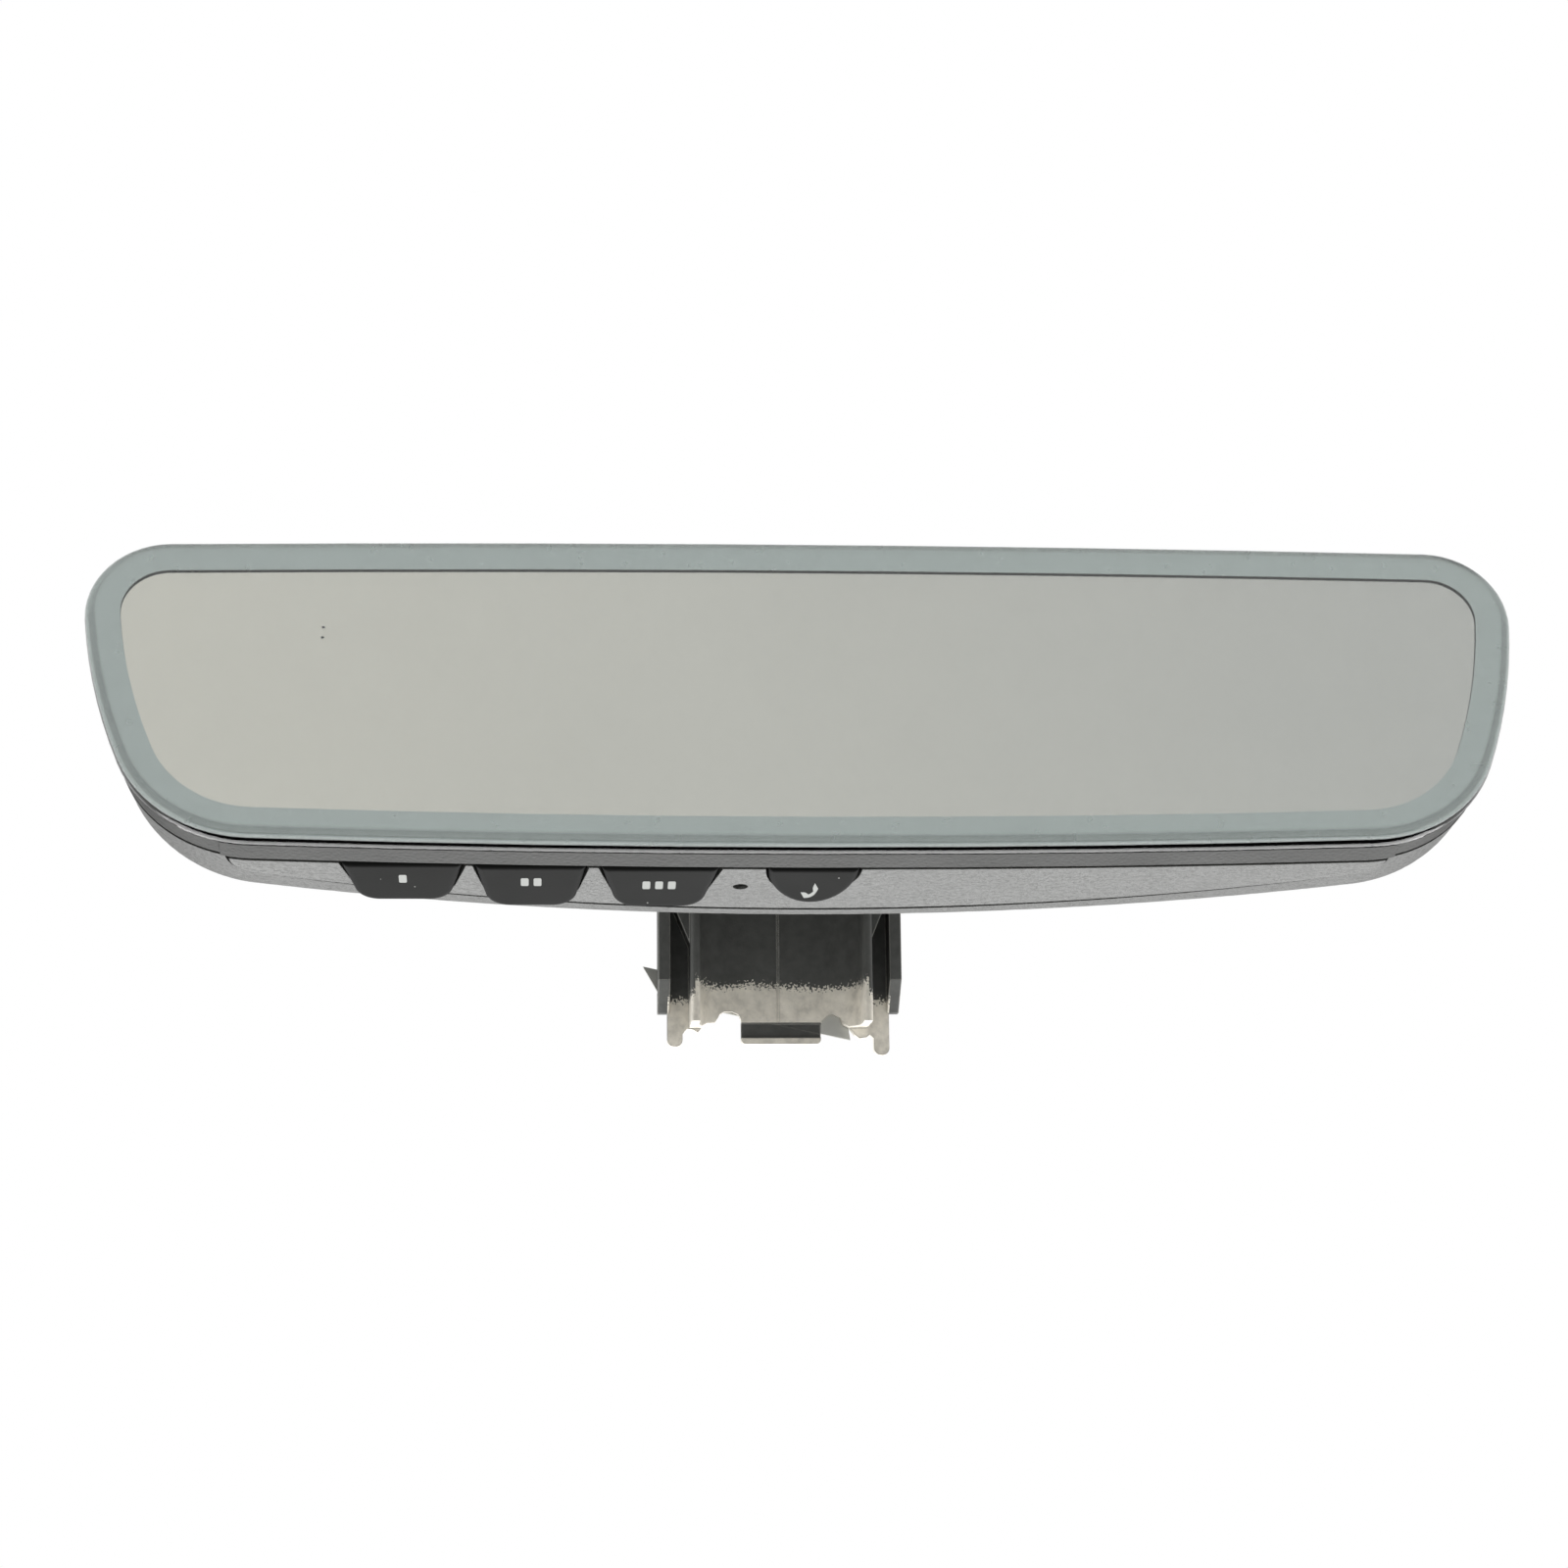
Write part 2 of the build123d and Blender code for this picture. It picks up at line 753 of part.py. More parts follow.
with BuildPart() as board_screws:
    with BuildSketch(across_head(board_back)):
        with Locations(*post_places):
            Circle(screw_head)
    extrude(amount=-screw_head_height)
    with BuildSketch(across_head(board_back)):
        with Locations(*post_places):
            Circle(screw_radius)
    extrude(amount=board_thickness + board_gap)
    with BuildSketch(across_head(board_back + screw_head_height)):
        with Locations(*post_places):
            RegularPolygon(screw_radius, 6)
    extrude(amount=screw_head_height / 2, mode=Mode.SUBTRACT)
save(board_screws.part, "board_screws")

with BuildPart() as radio_shield:
    with BuildSketch(across_head(board_back)):
        with Locations((shield_x, 0)):
            RectangleRounded(shield_width, shield_height, shield_corner)
    extrude(amount=-shield_depth)
    fillet(radio_shield.faces().sort_by(Axis.Y)[-1].edges(), shield_round)
save(radio_shield.part, "radio_shield")

with BuildPart() as control_chips:
    with BuildSketch(across_head(board_back)):
        with Locations((chip_x, board_lift), (-chip_x, board_lift), (0, board_lift)):
            Rectangle(chip_size, chip_size)
    extrude(amount=-chip_depth)
save(control_chips.part, "control_chips")

with BuildPart() as glare_sensor:
    with BuildSketch(across_head(foam_front)):
        with Locations((0, glare_lift)):
            Circle(sensor_radius)
    extrude(amount=-(board_front - foam_front))
save(glare_sensor.part, "glare_sensor")

with BuildPart() as ambient_sensor:
    with BuildSketch(across_head(board_back)):
        with Locations(sensor_place):
            Circle(sensor_radius)
    extrude(amount=-(rear_surface(sensor_x) - board_back - sensor_recess))
    fillet(ambient_sensor.faces().sort_by(Axis.Y)[-1].edges(), sensor_round)
save(ambient_sensor.part, "ambient_sensor")

plug_back = rear_surface(plug_x) - plug_recess
pin_root = plug_back - plug_room
with BuildPart() as wire_header:
    with BuildSketch(across_head(board_back)):
        with Locations(plug_places):
            RectangleRounded(plug_width, plug_height, plug_corner)
    extrude(amount=-(plug_back - board_back))
    with BuildSketch(across_head(plug_back)):
        with Locations(plug_places):
            Rectangle(plug_width - 2 * plug_wall, plug_height - 2 * plug_wall)
    extrude(amount=plug_room, mode=Mode.SUBTRACT)
save(wire_header.part, "wire_header")

with BuildPart() as header_pins:
    with BuildSketch(across_head(pin_root)):
        with Locations(plug_places):
            with GridLocations(pin_pitch, pin_pitch, pin_columns, 2):
                Rectangle(pin_side, pin_side)
    extrude(amount=-pin_length)
save(header_pins.part, "header_pins")

# Stacking header between the main board and the switch board
link_low = underside(link_x).offset(switch_bed).origin.Z + glass_drop
link_top = board_lift - board_height / 2 + link_lap
with BuildPart() as board_link:
    with BuildSketch(across_head(board_back)):
        with Locations((link_x, link_low + link_gap)):
            Rectangle(link_width, link_top - link_low, align=(Align.CENTER, Align.MIN))
    extrude(amount=-link_depth)
save(board_link.part, "board_link")

# --- Ball joint ---

ball_centre = (0, ball_y, -glass_drop)
ball_axis = Axis(ball_centre, (0, 1, 0))
ball_plan = Plane(origin=ball_centre, x_dir=(1, 0, 0), z_dir=(0, 0, 1))
ball_face = Plane(origin=ball_centre, x_dir=(1, 0, 0), z_dir=(0, 1, 0))


def shell_sector(inner, outer, first, last):
    """Half section of a spherical shell between two angles from the stud's axis."""
    def spot(radius, angle):
        return (radius * sin(radians(angle)), radius * cos(radians(angle)))

    middle = (first + last) / 2
    with BuildSketch() as sector:
        with BuildLine():
            ThreePointArc(spot(outer, first), spot(outer, middle), spot(outer, last))
            Line(spot(outer, last), spot(inner, last))
            ThreePointArc(spot(inner, last), spot(inner, middle), spot(inner, first))
            Line(spot(inner, first), spot(outer, first))
        make_face()
    return sector.sketch


with BuildPart() as ball_liner:
    with BuildSketch(ball_plan):
        add(shell_sector(ball_radius + fit_gap, liner_radius, liner_open, 180 - pole_hole))
    revolve(axis=ball_axis)
save(ball_liner.part, "ball_liner")

with BuildPart() as clamp_spring:
    with BuildSketch(ball_plan):
        add(shell_sector(liner_radius + fit_gap, spring_radius, spring_open, spring_end))
    revolve(axis=ball_axis)
    with BuildSketch(ball_face):
        with PolarLocations(spring_radius, spring_slots):
            Rectangle(spring_radius, spring_slot)
    extrude(amount=spring_radius, mode=Mode.SUBTRACT)
save(clamp_spring.part, "clamp_spring")

with BuildPart() as pivot_base:
    with BuildSketch(across_head(pivot_plate_depth)):
        RectangleRounded(pivot_width, pivot_height, pivot_corner)
    extrude(amount=-pivot_thickness)
    with BuildSketch(ball_face):
        Circle(cup_radius)
    extrude(amount=cup_trim - cup_radius)
    with Locations(Location(ball_centre)):
        Sphere(seat_radius, mode=Mode.SUBTRACT)
    with BuildSketch(across_head(pivot_plate_depth)):
        with Locations(*screw_corners):
            Circle(screw_radius + fit_gap)
    extrude(amount=-pivot_thickness, mode=Mode.SUBTRACT)
save(pivot_base.part, "pivot_base")

with BuildPart() as pivot_collar:
    with BuildSketch(ball_face.offset(-collar_skirt)):
        Circle(collar_radius)
        Circle(cup_radius + fit_gap, mode=Mode.SUBTRACT)
    extrude(amount=collar_skirt)
    with BuildSketch(ball_face):
        Circle(collar_radius)
        Circle(seat_radius * sin(radians(seat_open)), mode=Mode.SUBTRACT)
    extrude(amount=collar_back)
    with Locations(Location(ball_centre)):
        Sphere(seat_radius, mode=Mode.SUBTRACT)
    rim_edges = pivot_collar.faces().sort_by(Axis.Y)[-1].edges().filter_by(GeomType.CIRCLE)
    fillet(rim_edges.sort_by(SortBy.RADIUS)[-1], collar_round)
save(pivot_collar.part, "pivot_collar")

with BuildPart() as pivot_screws:
    with BuildSketch(across_head(pivot_plate_depth)):
        with Locations(*screw_corners):
            Circle(screw_head)
    extrude(amount=screw_head_height)
    with BuildSketch(across_head(pivot_plate_depth)):
        with Locations(*screw_corners):
            Circle(screw_radius)
    extrude(amount=-(pivot_thickness + pivot_screw_bite))
    with BuildSketch(across_head(pivot_plate_depth - screw_head_height)):
        with Locations(*screw_corners):
            RegularPolygon(screw_radius, 6)
    extrude(amount=-screw_head_height / 2, mode=Mode.SUBTRACT)
save(pivot_screws.part, "pivot_screws")

with BuildPart() as ball_stud:
    with Locations(Location(ball_centre)):
        Sphere(ball_radius)
    with BuildSketch(ball_face):
        Circle(neck_radius)
    extrude(amount=stud_reach)
    with BuildSketch(ball_face.offset(stud_reach - flange_thickness)):
        Circle(stud_flange)
    extrude(amount=flange_thickness)
    with BuildSketch(ball_face.offset(stud_reach)):
        Circle(shank_radius)
    extrude(amount=shank_length)
save(ball_stud.part, "ball_stud")

# --- Mount casting ---


def down_seat(v):
    """Plane across the channel at v down the seat; its Y points at the driver."""
    tilt = radians(rake)
    return Plane(origin=(0, v * sin(tilt), -v * cos(tilt)), x_dir=(1, 0, 0), z_dir=(0, sin(tilt), -cos(tilt)))


def beside_seat(u):
    """Plane square to X at u: its X runs down the seat and its Y toward the driver."""
    tilt = radians(rake)
    return Plane(origin=(u, 0, 0), x_dir=(0, sin(tilt), -cos(tilt)), z_dir=(-1, 0, 0))


def strip_outline(grow):
    """Outline of the retaining strip that crosses behind the seat, cut at a slant on the left."""
    with BuildSketch() as outline:
        with BuildLine():
            Polyline(*[(u, -v) for u, v in strip_corners], close=True)
        make_face()
        if grow > 0:
            offset(amount=grow)
    return outline.sketch


flange_half = pocket_half + flange_wall
rim_half = floor_half + rim_wall
tip_left, tip_right = leg_tips
flange_foot = flange_bottom + flange_cut
tab_middle = (tab_left + tab_right) / 2
blend_start = floor_half - wall_blend
blend_dip = wall_blend * (1 - sqrt(0.5))
with BuildPart() as mount_casting:
    with BuildSketch(on_seat(0)) as floor_shape:
        with BuildLine():
            Polyline(
                (-flange_half, floor_top),
                (-flange_half, -flange_bottom),
                (-leg_outer, -flange_foot),
                (-leg_outer, -tip_left),
                (-leg_inner, -tip_left),
                (-leg_inner, -foot_end),
                (tab_left, -foot_end),
                (tab_left, -tab_bottom),
                (tab_right, -tab_bottom),
                (tab_right, -foot_end),
                (leg_inner, -foot_end),
                (leg_inner, -tip_right),
                (leg_outer, -tip_right),
                (leg_outer, -flange_foot),
                (flange_half, -flange_bottom),
                (flange_half, floor_top),
                close=True,
            )
        make_face()
        for tip in leg_tips:
            fillet(floor_shape.vertices().filter_by(lambda c, end=tip: abs(c.Y + end) < 0.01), leg_round)
        fillet(floor_shape.vertices().filter_by(lambda c: abs(c.Y + tab_bottom) < 0.01), tab_round)
    extrude(amount=floor_thickness)
    with BuildSketch(down_seat(-floor_top)):
        for side in (-1, 1):
            with BuildLine():
                Polyline(
                    (side * blend_start, floor_thickness),
                    (side * blend_start, 0),
                    (side * rim_half, 0),
                    (side * rim_half, rim_height - rim_round),
                )
                ThreePointArc(
                    (side * rim_half, rim_height - rim_round),
                    (side * (floor_half + rim_wall / 2), rim_height),
                    (side * floor_half, rim_height - rim_round),
                )
                Line(
                    (side * floor_half, rim_height - rim_round),
                    (side * floor_half, floor_thickness + wall_blend),
                )
                ThreePointArc(
                    (side * floor_half, floor_thickness + wall_blend),
                    (side * (floor_half - blend_dip), floor_thickness + blend_dip),
                    (side * blend_start, floor_thickness),
                )
            make_face()
    extrude(amount=floor_top + floor_bottom)
    with BuildSketch(on_seat(0)):
        for foot in (foot_left, foot_right):
            with BuildLine():
                Polyline(
                    (foot[0][0], -foot_end - cut_margin),
                    *[(u, -v) for u, v in foot],
                    (foot[-1][0], -foot_end - cut_margin),
                    close=True,
                )
            make_face()
    extrude(amount=rim_height, mode=Mode.SUBTRACT)
    for u in (-pocket_half, flange_half):
        with BuildSketch(beside_seat(u)):
            with BuildLine():
                Polyline(
                    (-floor_top, 0),
                    (-floor_top, flange_height),
                    (flange_bottom, flange_height),
                    (flange_foot, floor_thickness),
                    (flange_foot, 0),
                    close=True,
                )
            make_face()
        extrude(amount=flange_wall)
    for side in (-1, 1):
        with BuildSketch(on_seat(0)):
            with BuildLine():
                Polyline(
                    (side * (rim_half - gusset_bite), -gusset_top),
                    (side * (pocket_half + gusset_bite), -gusset_top),
                    (side * (pocket_half + gusset_bite), -gusset_top - gusset_land),
                    (side * (rim_half - gusset_bite), -gusset_bottom),
                    close=True,
                )
            make_face()
        extrude(amount=gusset_height)
    with BuildSketch(on_seat(floor_thickness)):
        with Locations((tab_middle, -(tab_recess_top + tab_bottom - tab_lip) / 2)):
            Rectangle(tab_right - tab_left, tab_bottom - tab_lip - tab_recess_top)
    extrude(amount=-tab_recess, mode=Mode.SUBTRACT)
    with BuildSketch(on_seat(0)):
        with Locations((0, floor_top)):
            Rectangle(2 * seam_ridge, floor_top + tab_recess_top, align=(Align.CENTER, Align.MAX))
    extrude(amount=floor_thickness + seam_ridge)
    with BuildSketch(ball_face.offset(stud_reach + boss_length / 2)):
        RectangleRounded(2 * boss_radius, 2 * boss_radius, boss_radius - arm_root_flat)
    with BuildSketch(Plane(on_seat(floor_thickness / 2).origin, (1, 0, 0), -on_seat(0).z_dir)):
        with Locations((0, -arm_rise)):
            RectangleRounded(arm_width, arm_height, arm_corner)
    loft()
    with BuildSketch(ball_face.offset(stud_reach)):
        Circle(boss_radius)
    extrude(amount=boss_length)
    with BuildSketch(ball_face.offset(stud_reach)):
        Circle(shank_radius + fit_gap)
    extrude(amount=shank_length + fit_gap, mode=Mode.SUBTRACT)
    with BuildSketch(on_seat(0)):
        add(strip_outline(strip_gap))
    extrude(amount=strip_thickness + fit_gap, mode=Mode.SUBTRACT)
save(mount_casting.part, "mount_casting")

with BuildPart() as retaining_spring:
    with BuildSketch(on_seat(0)):
        add(strip_outline(0))
    extrude(amount=strip_thickness)
save(retaining_spring.part, "retaining_spring")
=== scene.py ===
"""Looks of a frameless interior mirror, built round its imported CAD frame.

The glass, the grained case, the soft-touch buttons and the part-painted bracket keep their CAD
shapes and get their finishes here. Only the button marks are meshed here.
"""

import logging
import math
from dataclasses import dataclass, field
from enum import Enum
from typing import Any

import bmesh
import bpy
from mathutils import Matrix, Vector


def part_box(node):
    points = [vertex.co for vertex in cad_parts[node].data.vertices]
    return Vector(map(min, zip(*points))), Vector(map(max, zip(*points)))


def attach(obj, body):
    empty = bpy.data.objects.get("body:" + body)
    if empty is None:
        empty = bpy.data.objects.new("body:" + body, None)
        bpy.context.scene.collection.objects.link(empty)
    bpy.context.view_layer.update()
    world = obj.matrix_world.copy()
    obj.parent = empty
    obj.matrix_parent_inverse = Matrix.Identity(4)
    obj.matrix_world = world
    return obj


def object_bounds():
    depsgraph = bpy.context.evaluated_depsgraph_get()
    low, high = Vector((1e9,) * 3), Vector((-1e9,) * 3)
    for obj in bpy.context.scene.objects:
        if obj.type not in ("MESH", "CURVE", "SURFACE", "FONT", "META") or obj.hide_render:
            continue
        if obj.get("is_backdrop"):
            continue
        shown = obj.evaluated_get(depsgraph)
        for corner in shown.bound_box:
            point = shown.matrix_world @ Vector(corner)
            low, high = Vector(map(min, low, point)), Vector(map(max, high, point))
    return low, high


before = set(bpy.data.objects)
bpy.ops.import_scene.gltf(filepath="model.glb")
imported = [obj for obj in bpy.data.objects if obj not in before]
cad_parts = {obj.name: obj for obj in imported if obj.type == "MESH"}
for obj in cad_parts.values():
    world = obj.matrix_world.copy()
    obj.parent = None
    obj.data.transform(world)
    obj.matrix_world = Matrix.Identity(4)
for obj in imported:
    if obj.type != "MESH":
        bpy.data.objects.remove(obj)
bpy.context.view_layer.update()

MM = 0.001
log = logging.getLogger("mirror")


# --- Colour and node helpers ---


def linear(hex_code: str) -> tuple[float, float, float, float]:
    """Turn an sRGB hex colour to linear.

    Args:
        hex_code: Six hex digits, such as "5A5B58".

    Returns:
        Linear red, green and blue, and an alpha of 1.
    """
    channels = [int(hex_code[i:i + 2], 16) / 255 for i in (0, 2, 4)]
    flat = [c / 12.92 if c <= 0.04045 else ((c + 0.055) / 1.055) ** 2.4 for c in channels]
    return (flat[0], flat[1], flat[2], 1.0)


@dataclass
class Graph:
    """A material's node tree, with one way to add a node.

    Attributes:
        material: The material that is being built.
    """

    material: bpy.types.Material

    @classmethod
    def fresh(cls, name: str) -> "Graph":
        """Start an empty node material.

        Args:
            name: The material's name.

        Returns:
            The graph, with no nodes in it.
        """
        material = bpy.data.materials.new(name)
        material.use_nodes = True
        material.node_tree.nodes.clear()
        return cls(material)

    def add(self, kind: str, settings: dict[str | int, Any] | None = None,
            links: dict[str | int, Any] | None = None) -> bpy.types.Node:
        """Add a node with its settings and links.

        Args:
            kind: The node's type name.
            settings: Input values and attributes, by name or number; "stops" are a ramp's places and colours.
            links: Output sockets to plug in, by input name or number.

        Returns:
            The new node.
        """
        node = self.material.node_tree.nodes.new(kind)
        for key, value in (settings or {}).items():
            if key == "stops":
                while len(node.color_ramp.elements) < len(value):
                    node.color_ramp.elements.new(1.0)
                for element, (place, colour) in zip(node.color_ramp.elements, value):
                    element.position = place
                    element.color = colour
            elif isinstance(key, int) or key in node.inputs:
                node.inputs[key].default_value = value
            else:
                setattr(node, key, value)
        for key, socket in (links or {}).items():
            self.material.node_tree.links.new(socket, node.inputs[key])
        return node


def shade(colour: tuple, factor: float) -> tuple[float, float, float, float]:
    """Scale a linear colour, alpha kept."""
    return (colour[0] * factor, colour[1] * factor, colour[2] * factor, colour[3])


def per_mm(size: float) -> float:
    """Texture scale whose features are `size` millimetres across."""
    return 1.0 / (size * MM)


# --- Finishes ---


@dataclass(frozen=True)
class MouldedPlastic:
    """An injection-moulded plastic with a spark-eroded grain from its tool.

    Attributes:
        name: The material's name.
        colour: Its sRGB hex colour.
        rough: Roughness of the land between the grain's pits.
        grain: Width of one grain cell in millimetres, or 0 for none.
        depth: Height of the grain in millimetres.
        sheen: Specular level.
        wear: How much lighter the worn or dusty patches are, 0 to 1.
        edge: Radius in millimetres that softens its edges to the eye, or 0 for none.
        dust: Whether a few pale specks of dust lie on it.
    """

    name: str
    colour: str
    rough: float = 0.5
    grain: float = 0.45
    depth: float = 0.03
    sheen: float = 0.5
    wear: float = 0.12
    edge: float = 0.0
    dust: bool = False

    def build(self) -> bpy.types.Material:
        """Build the node material.

        Returns:
            The material.
        """
        graph = Graph.fresh(self.name)
        base = linear(self.colour)
        at = graph.add("ShaderNodeTexCoord").outputs["Object"]
        cloud = graph.add("ShaderNodeTexNoise", {"Scale": per_mm(14), "Detail": 3.0}, {"Vector": at})
        tone = graph.add("ShaderNodeValToRGB",
                         {"stops": [(0.3, shade(base, 1 - self.wear)), (0.7, shade(base, 1 + self.wear))]},
                         {"Fac": cloud.outputs["Fac"]}).outputs["Color"]
        if self.dust:
            cells = graph.add("ShaderNodeTexVoronoi", {"Scale": per_mm(4.5)}, {"Vector": at})
            spot = graph.add("ShaderNodeMapRange", {"From Min": 0.035, "From Max": 0.02},
                             {"Value": cells.outputs["Distance"]})
            tone = graph.add("ShaderNodeMix", {"data_type": "RGBA", 7: linear("B9BAB6")},
                             {"Factor": spot.outputs["Result"], 6: tone}).outputs[2]
        rough = graph.add("ShaderNodeMapRange", {"To Min": self.rough - 0.05, "To Max": self.rough + 0.07},
                          {"Value": cloud.outputs["Fac"]})
        links = {"Base Color": tone, "Roughness": rough.outputs["Result"]}
        surface = {}
        if self.edge > 0:
            corner = graph.add("ShaderNodeBevel", {"samples": 4, "Radius": self.edge * MM})
            surface["Normal"] = corner.outputs["Normal"]
            links["Normal"] = corner.outputs["Normal"]
        if self.grain > 0:
            cells = graph.add("ShaderNodeTexVoronoi",
                              {"feature": "SMOOTH_F1", "Scale": per_mm(self.grain), "Smoothness": 0.5},
                              {"Vector": at})
            grit = graph.add("ShaderNodeTexNoise",
                             {"Scale": per_mm(self.grain * 0.7), "Detail": 2.0, "Roughness": 0.6},
                             {"Vector": at})
            mix = graph.add("ShaderNodeMath", {"operation": "MULTIPLY_ADD", 1: 0.7},
                            {0: grit.outputs["Fac"], 2: cells.outputs["Distance"]})
            surface["Height"] = mix.outputs["Value"]
            bump = graph.add("ShaderNodeBump", {"Strength": 1.0, "Distance": self.depth * MM}, surface)
            links["Normal"] = bump.outputs["Normal"]
        shader = graph.add("ShaderNodeBsdfPrincipled", {"Specular IOR Level": self.sheen, "IOR": 1.5}, links)
        graph.add("ShaderNodeOutputMaterial", None, {"Surface": shader.outputs["BSDF"]})
        return graph.material


@dataclass(frozen=True)
class WorkedMetal:
    """A bare or plated metal with fine tool lines or a tumbled grain.

    Attributes:
        name: The material's name.
        colour: Its sRGB hex colour.
        rough: Roughness.
        grain: Size of the grain in millimetres.
        stretch: How much longer the grain is along X than across.
        depth: Height of the grain in millimetres.
        mottle: How much the tone drifts, 0 to 1.
    """

    name: str
    colour: str
    rough: float = 0.3
    grain: float = 0.3
    stretch: float = 1.0
    depth: float = 0.006
    mottle: float = 0.1

    def build(self) -> bpy.types.Material:
        """Build the node material.

        Returns:
            The material.
        """
        graph = Graph.fresh(self.name)
        base = linear(self.colour)
        at = graph.add("ShaderNodeTexCoord").outputs["Object"]
        drawn = graph.add("ShaderNodeMapping", {"Scale": (1 / self.stretch, 1.0, 1.0)}, {"Vector": at})
        lines = graph.add("ShaderNodeTexNoise", {"Scale": per_mm(self.grain), "Detail": 3.0},
                          {"Vector": drawn.outputs["Vector"]})
        cloud = graph.add("ShaderNodeTexNoise", {"Scale": per_mm(6), "Detail": 4.0}, {"Vector": at})
        tone = graph.add("ShaderNodeValToRGB",
                         {"stops": [(0.3, shade(base, 1 - self.mottle)), (0.7, shade(base, 1 + self.mottle / 2))]},
                         {"Fac": cloud.outputs["Fac"]})
        rough = graph.add("ShaderNodeMapRange", {"To Min": self.rough - 0.08, "To Max": self.rough + 0.12},
                          {"Value": lines.outputs["Fac"]})
        bump = graph.add("ShaderNodeBump", {"Strength": 1.0, "Distance": self.depth * MM},
                         {"Height": lines.outputs["Fac"]})
        shader = graph.add("ShaderNodeBsdfPrincipled", {"Metallic": 1.0},
                           {"Base Color": tone.outputs["Color"], "Roughness": rough.outputs["Result"],
                            "Normal": bump.outputs["Normal"]})
        graph.add("ShaderNodeOutputMaterial", None, {"Surface": shader.outputs["BSDF"]})
        return graph.material


@dataclass(frozen=True)
class FloatGlass:
    """Soda-lime float glass with a ground and polished edge: clear, faintly green in its depth.

    Attributes:
        name: The material's name.
        tint: Its sRGB hex tint.
        smudge: Roughness of the handled patches.
        band: How much light the edge's dark bands, painted reflections, let through, 0 to 1.
    """

    name: str
    tint: str = "FAFDFC"
    smudge: float = 0.008
    band: float = 0.45

    def build(self) -> bpy.types.Material:
        """Build the node material.

        Returns:
            The material.
        """
        graph = Graph.fresh(self.name)
        at = graph.add("ShaderNodeTexCoord").outputs["Object"]
        hands = graph.add("ShaderNodeTexNoise", {"Scale": per_mm(22), "Detail": 5.0, "Roughness": 0.65},
                          {"Vector": at})
        rough = graph.add("ShaderNodeMapRange", {"From Min": 0.5, "From Max": 0.75, "To Max": self.smudge},
                          {"Value": hands.outputs["Fac"]})
        # Float glass is dead flat, so its two wide faces are shaded as true planes, and only the
        # ground edge as a curve.
        shape = graph.add("ShaderNodeNewGeometry")
        turned = graph.add("ShaderNodeVectorTransform",
                           {"vector_type": "NORMAL", "convert_from": "WORLD", "convert_to": "OBJECT"},
                           {"Vector": shape.outputs["True Normal"]})
        facing = graph.add("ShaderNodeVectorMath", {"operation": "DOT_PRODUCT", 1: (0.0, 1.0, 0.0)},
                           {0: turned.outputs["Vector"]})
        squarely = graph.add("ShaderNodeMath", {"operation": "ABSOLUTE"}, {0: facing.outputs["Value"]})
        plane = graph.add("ShaderNodeMath", {"operation": "GREATER_THAN", 1: 0.9999},
                          {0: squarely.outputs["Value"]})
        normal = graph.add("ShaderNodeMix", {"data_type": "VECTOR"},
                           {"Factor": plane.outputs["Value"], 4: shape.outputs["Normal"],
                            5: shape.outputs["True Normal"]})
        # The polished edge gets painted reflections: two darker bands beside a bright one, drawn in its tint by
        # how far the surface has turned from the front. They are strongest along the lower edge.
        curved = graph.add("ShaderNodeVectorTransform",
                           {"vector_type": "NORMAL", "convert_from": "WORLD", "convert_to": "OBJECT"},
                           {"Vector": shape.outputs["Normal"]})
        aim = graph.add("ShaderNodeSeparateXYZ", None, {"Vector": curved.outputs["Vector"]})
        front = graph.add("ShaderNodeMath", {"operation": "LESS_THAN", 1: -0.001}, {0: aim.outputs["Y"]})
        lean = graph.add("ShaderNodeMath", {"operation": "ADD", 1: 1.0}, {0: aim.outputs["Y"]})
        round_edge = graph.add("ShaderNodeMath", {"operation": "SUBTRACT", 0: 1.0},
                               {1: plane.outputs["Value"]})
        tint = linear(self.tint)
        band = graph.add("ShaderNodeValToRGB", {"stops": [
            (0.0, tint), (0.03, shade(tint, self.band)), (0.22, shade(tint, self.band * 1.15)),
            (0.3, tint), (0.55, shade(tint, 0.95)), (0.75, shade(tint, self.band))]},
            {"Fac": lean.outputs["Value"]})
        low_side = graph.add("ShaderNodeMapRange", {"From Min": 0.15, "From Max": -0.1, "To Min": 0.3},
                             {"Value": aim.outputs["Z"]})
        painted_reflection_amount = graph.add("ShaderNodeMath", {"operation": "MULTIPLY"},
                           {0: low_side.outputs["Result"], 1: round_edge.outputs["Value"]})
        painted_reflection_amount = graph.add("ShaderNodeMath", {"operation": "MULTIPLY"},
                           {0: painted_reflection_amount.outputs["Value"], 1: front.outputs["Value"]})
        colour = graph.add("ShaderNodeMix", {"data_type": "RGBA", 6: tint},
                           {"Factor": painted_reflection_amount.outputs["Value"], 7: band.outputs["Color"]})
        shader = graph.add("ShaderNodeBsdfPrincipled", {"Transmission Weight": 1.0, "IOR": 1.52},
                           {"Base Color": colour.outputs[2], "Roughness": rough.outputs["Result"],
                            "Normal": normal.outputs[1]})
        graph.add("ShaderNodeOutputMaterial", None, {"Surface": shader.outputs["BSDF"]})
        return graph.material


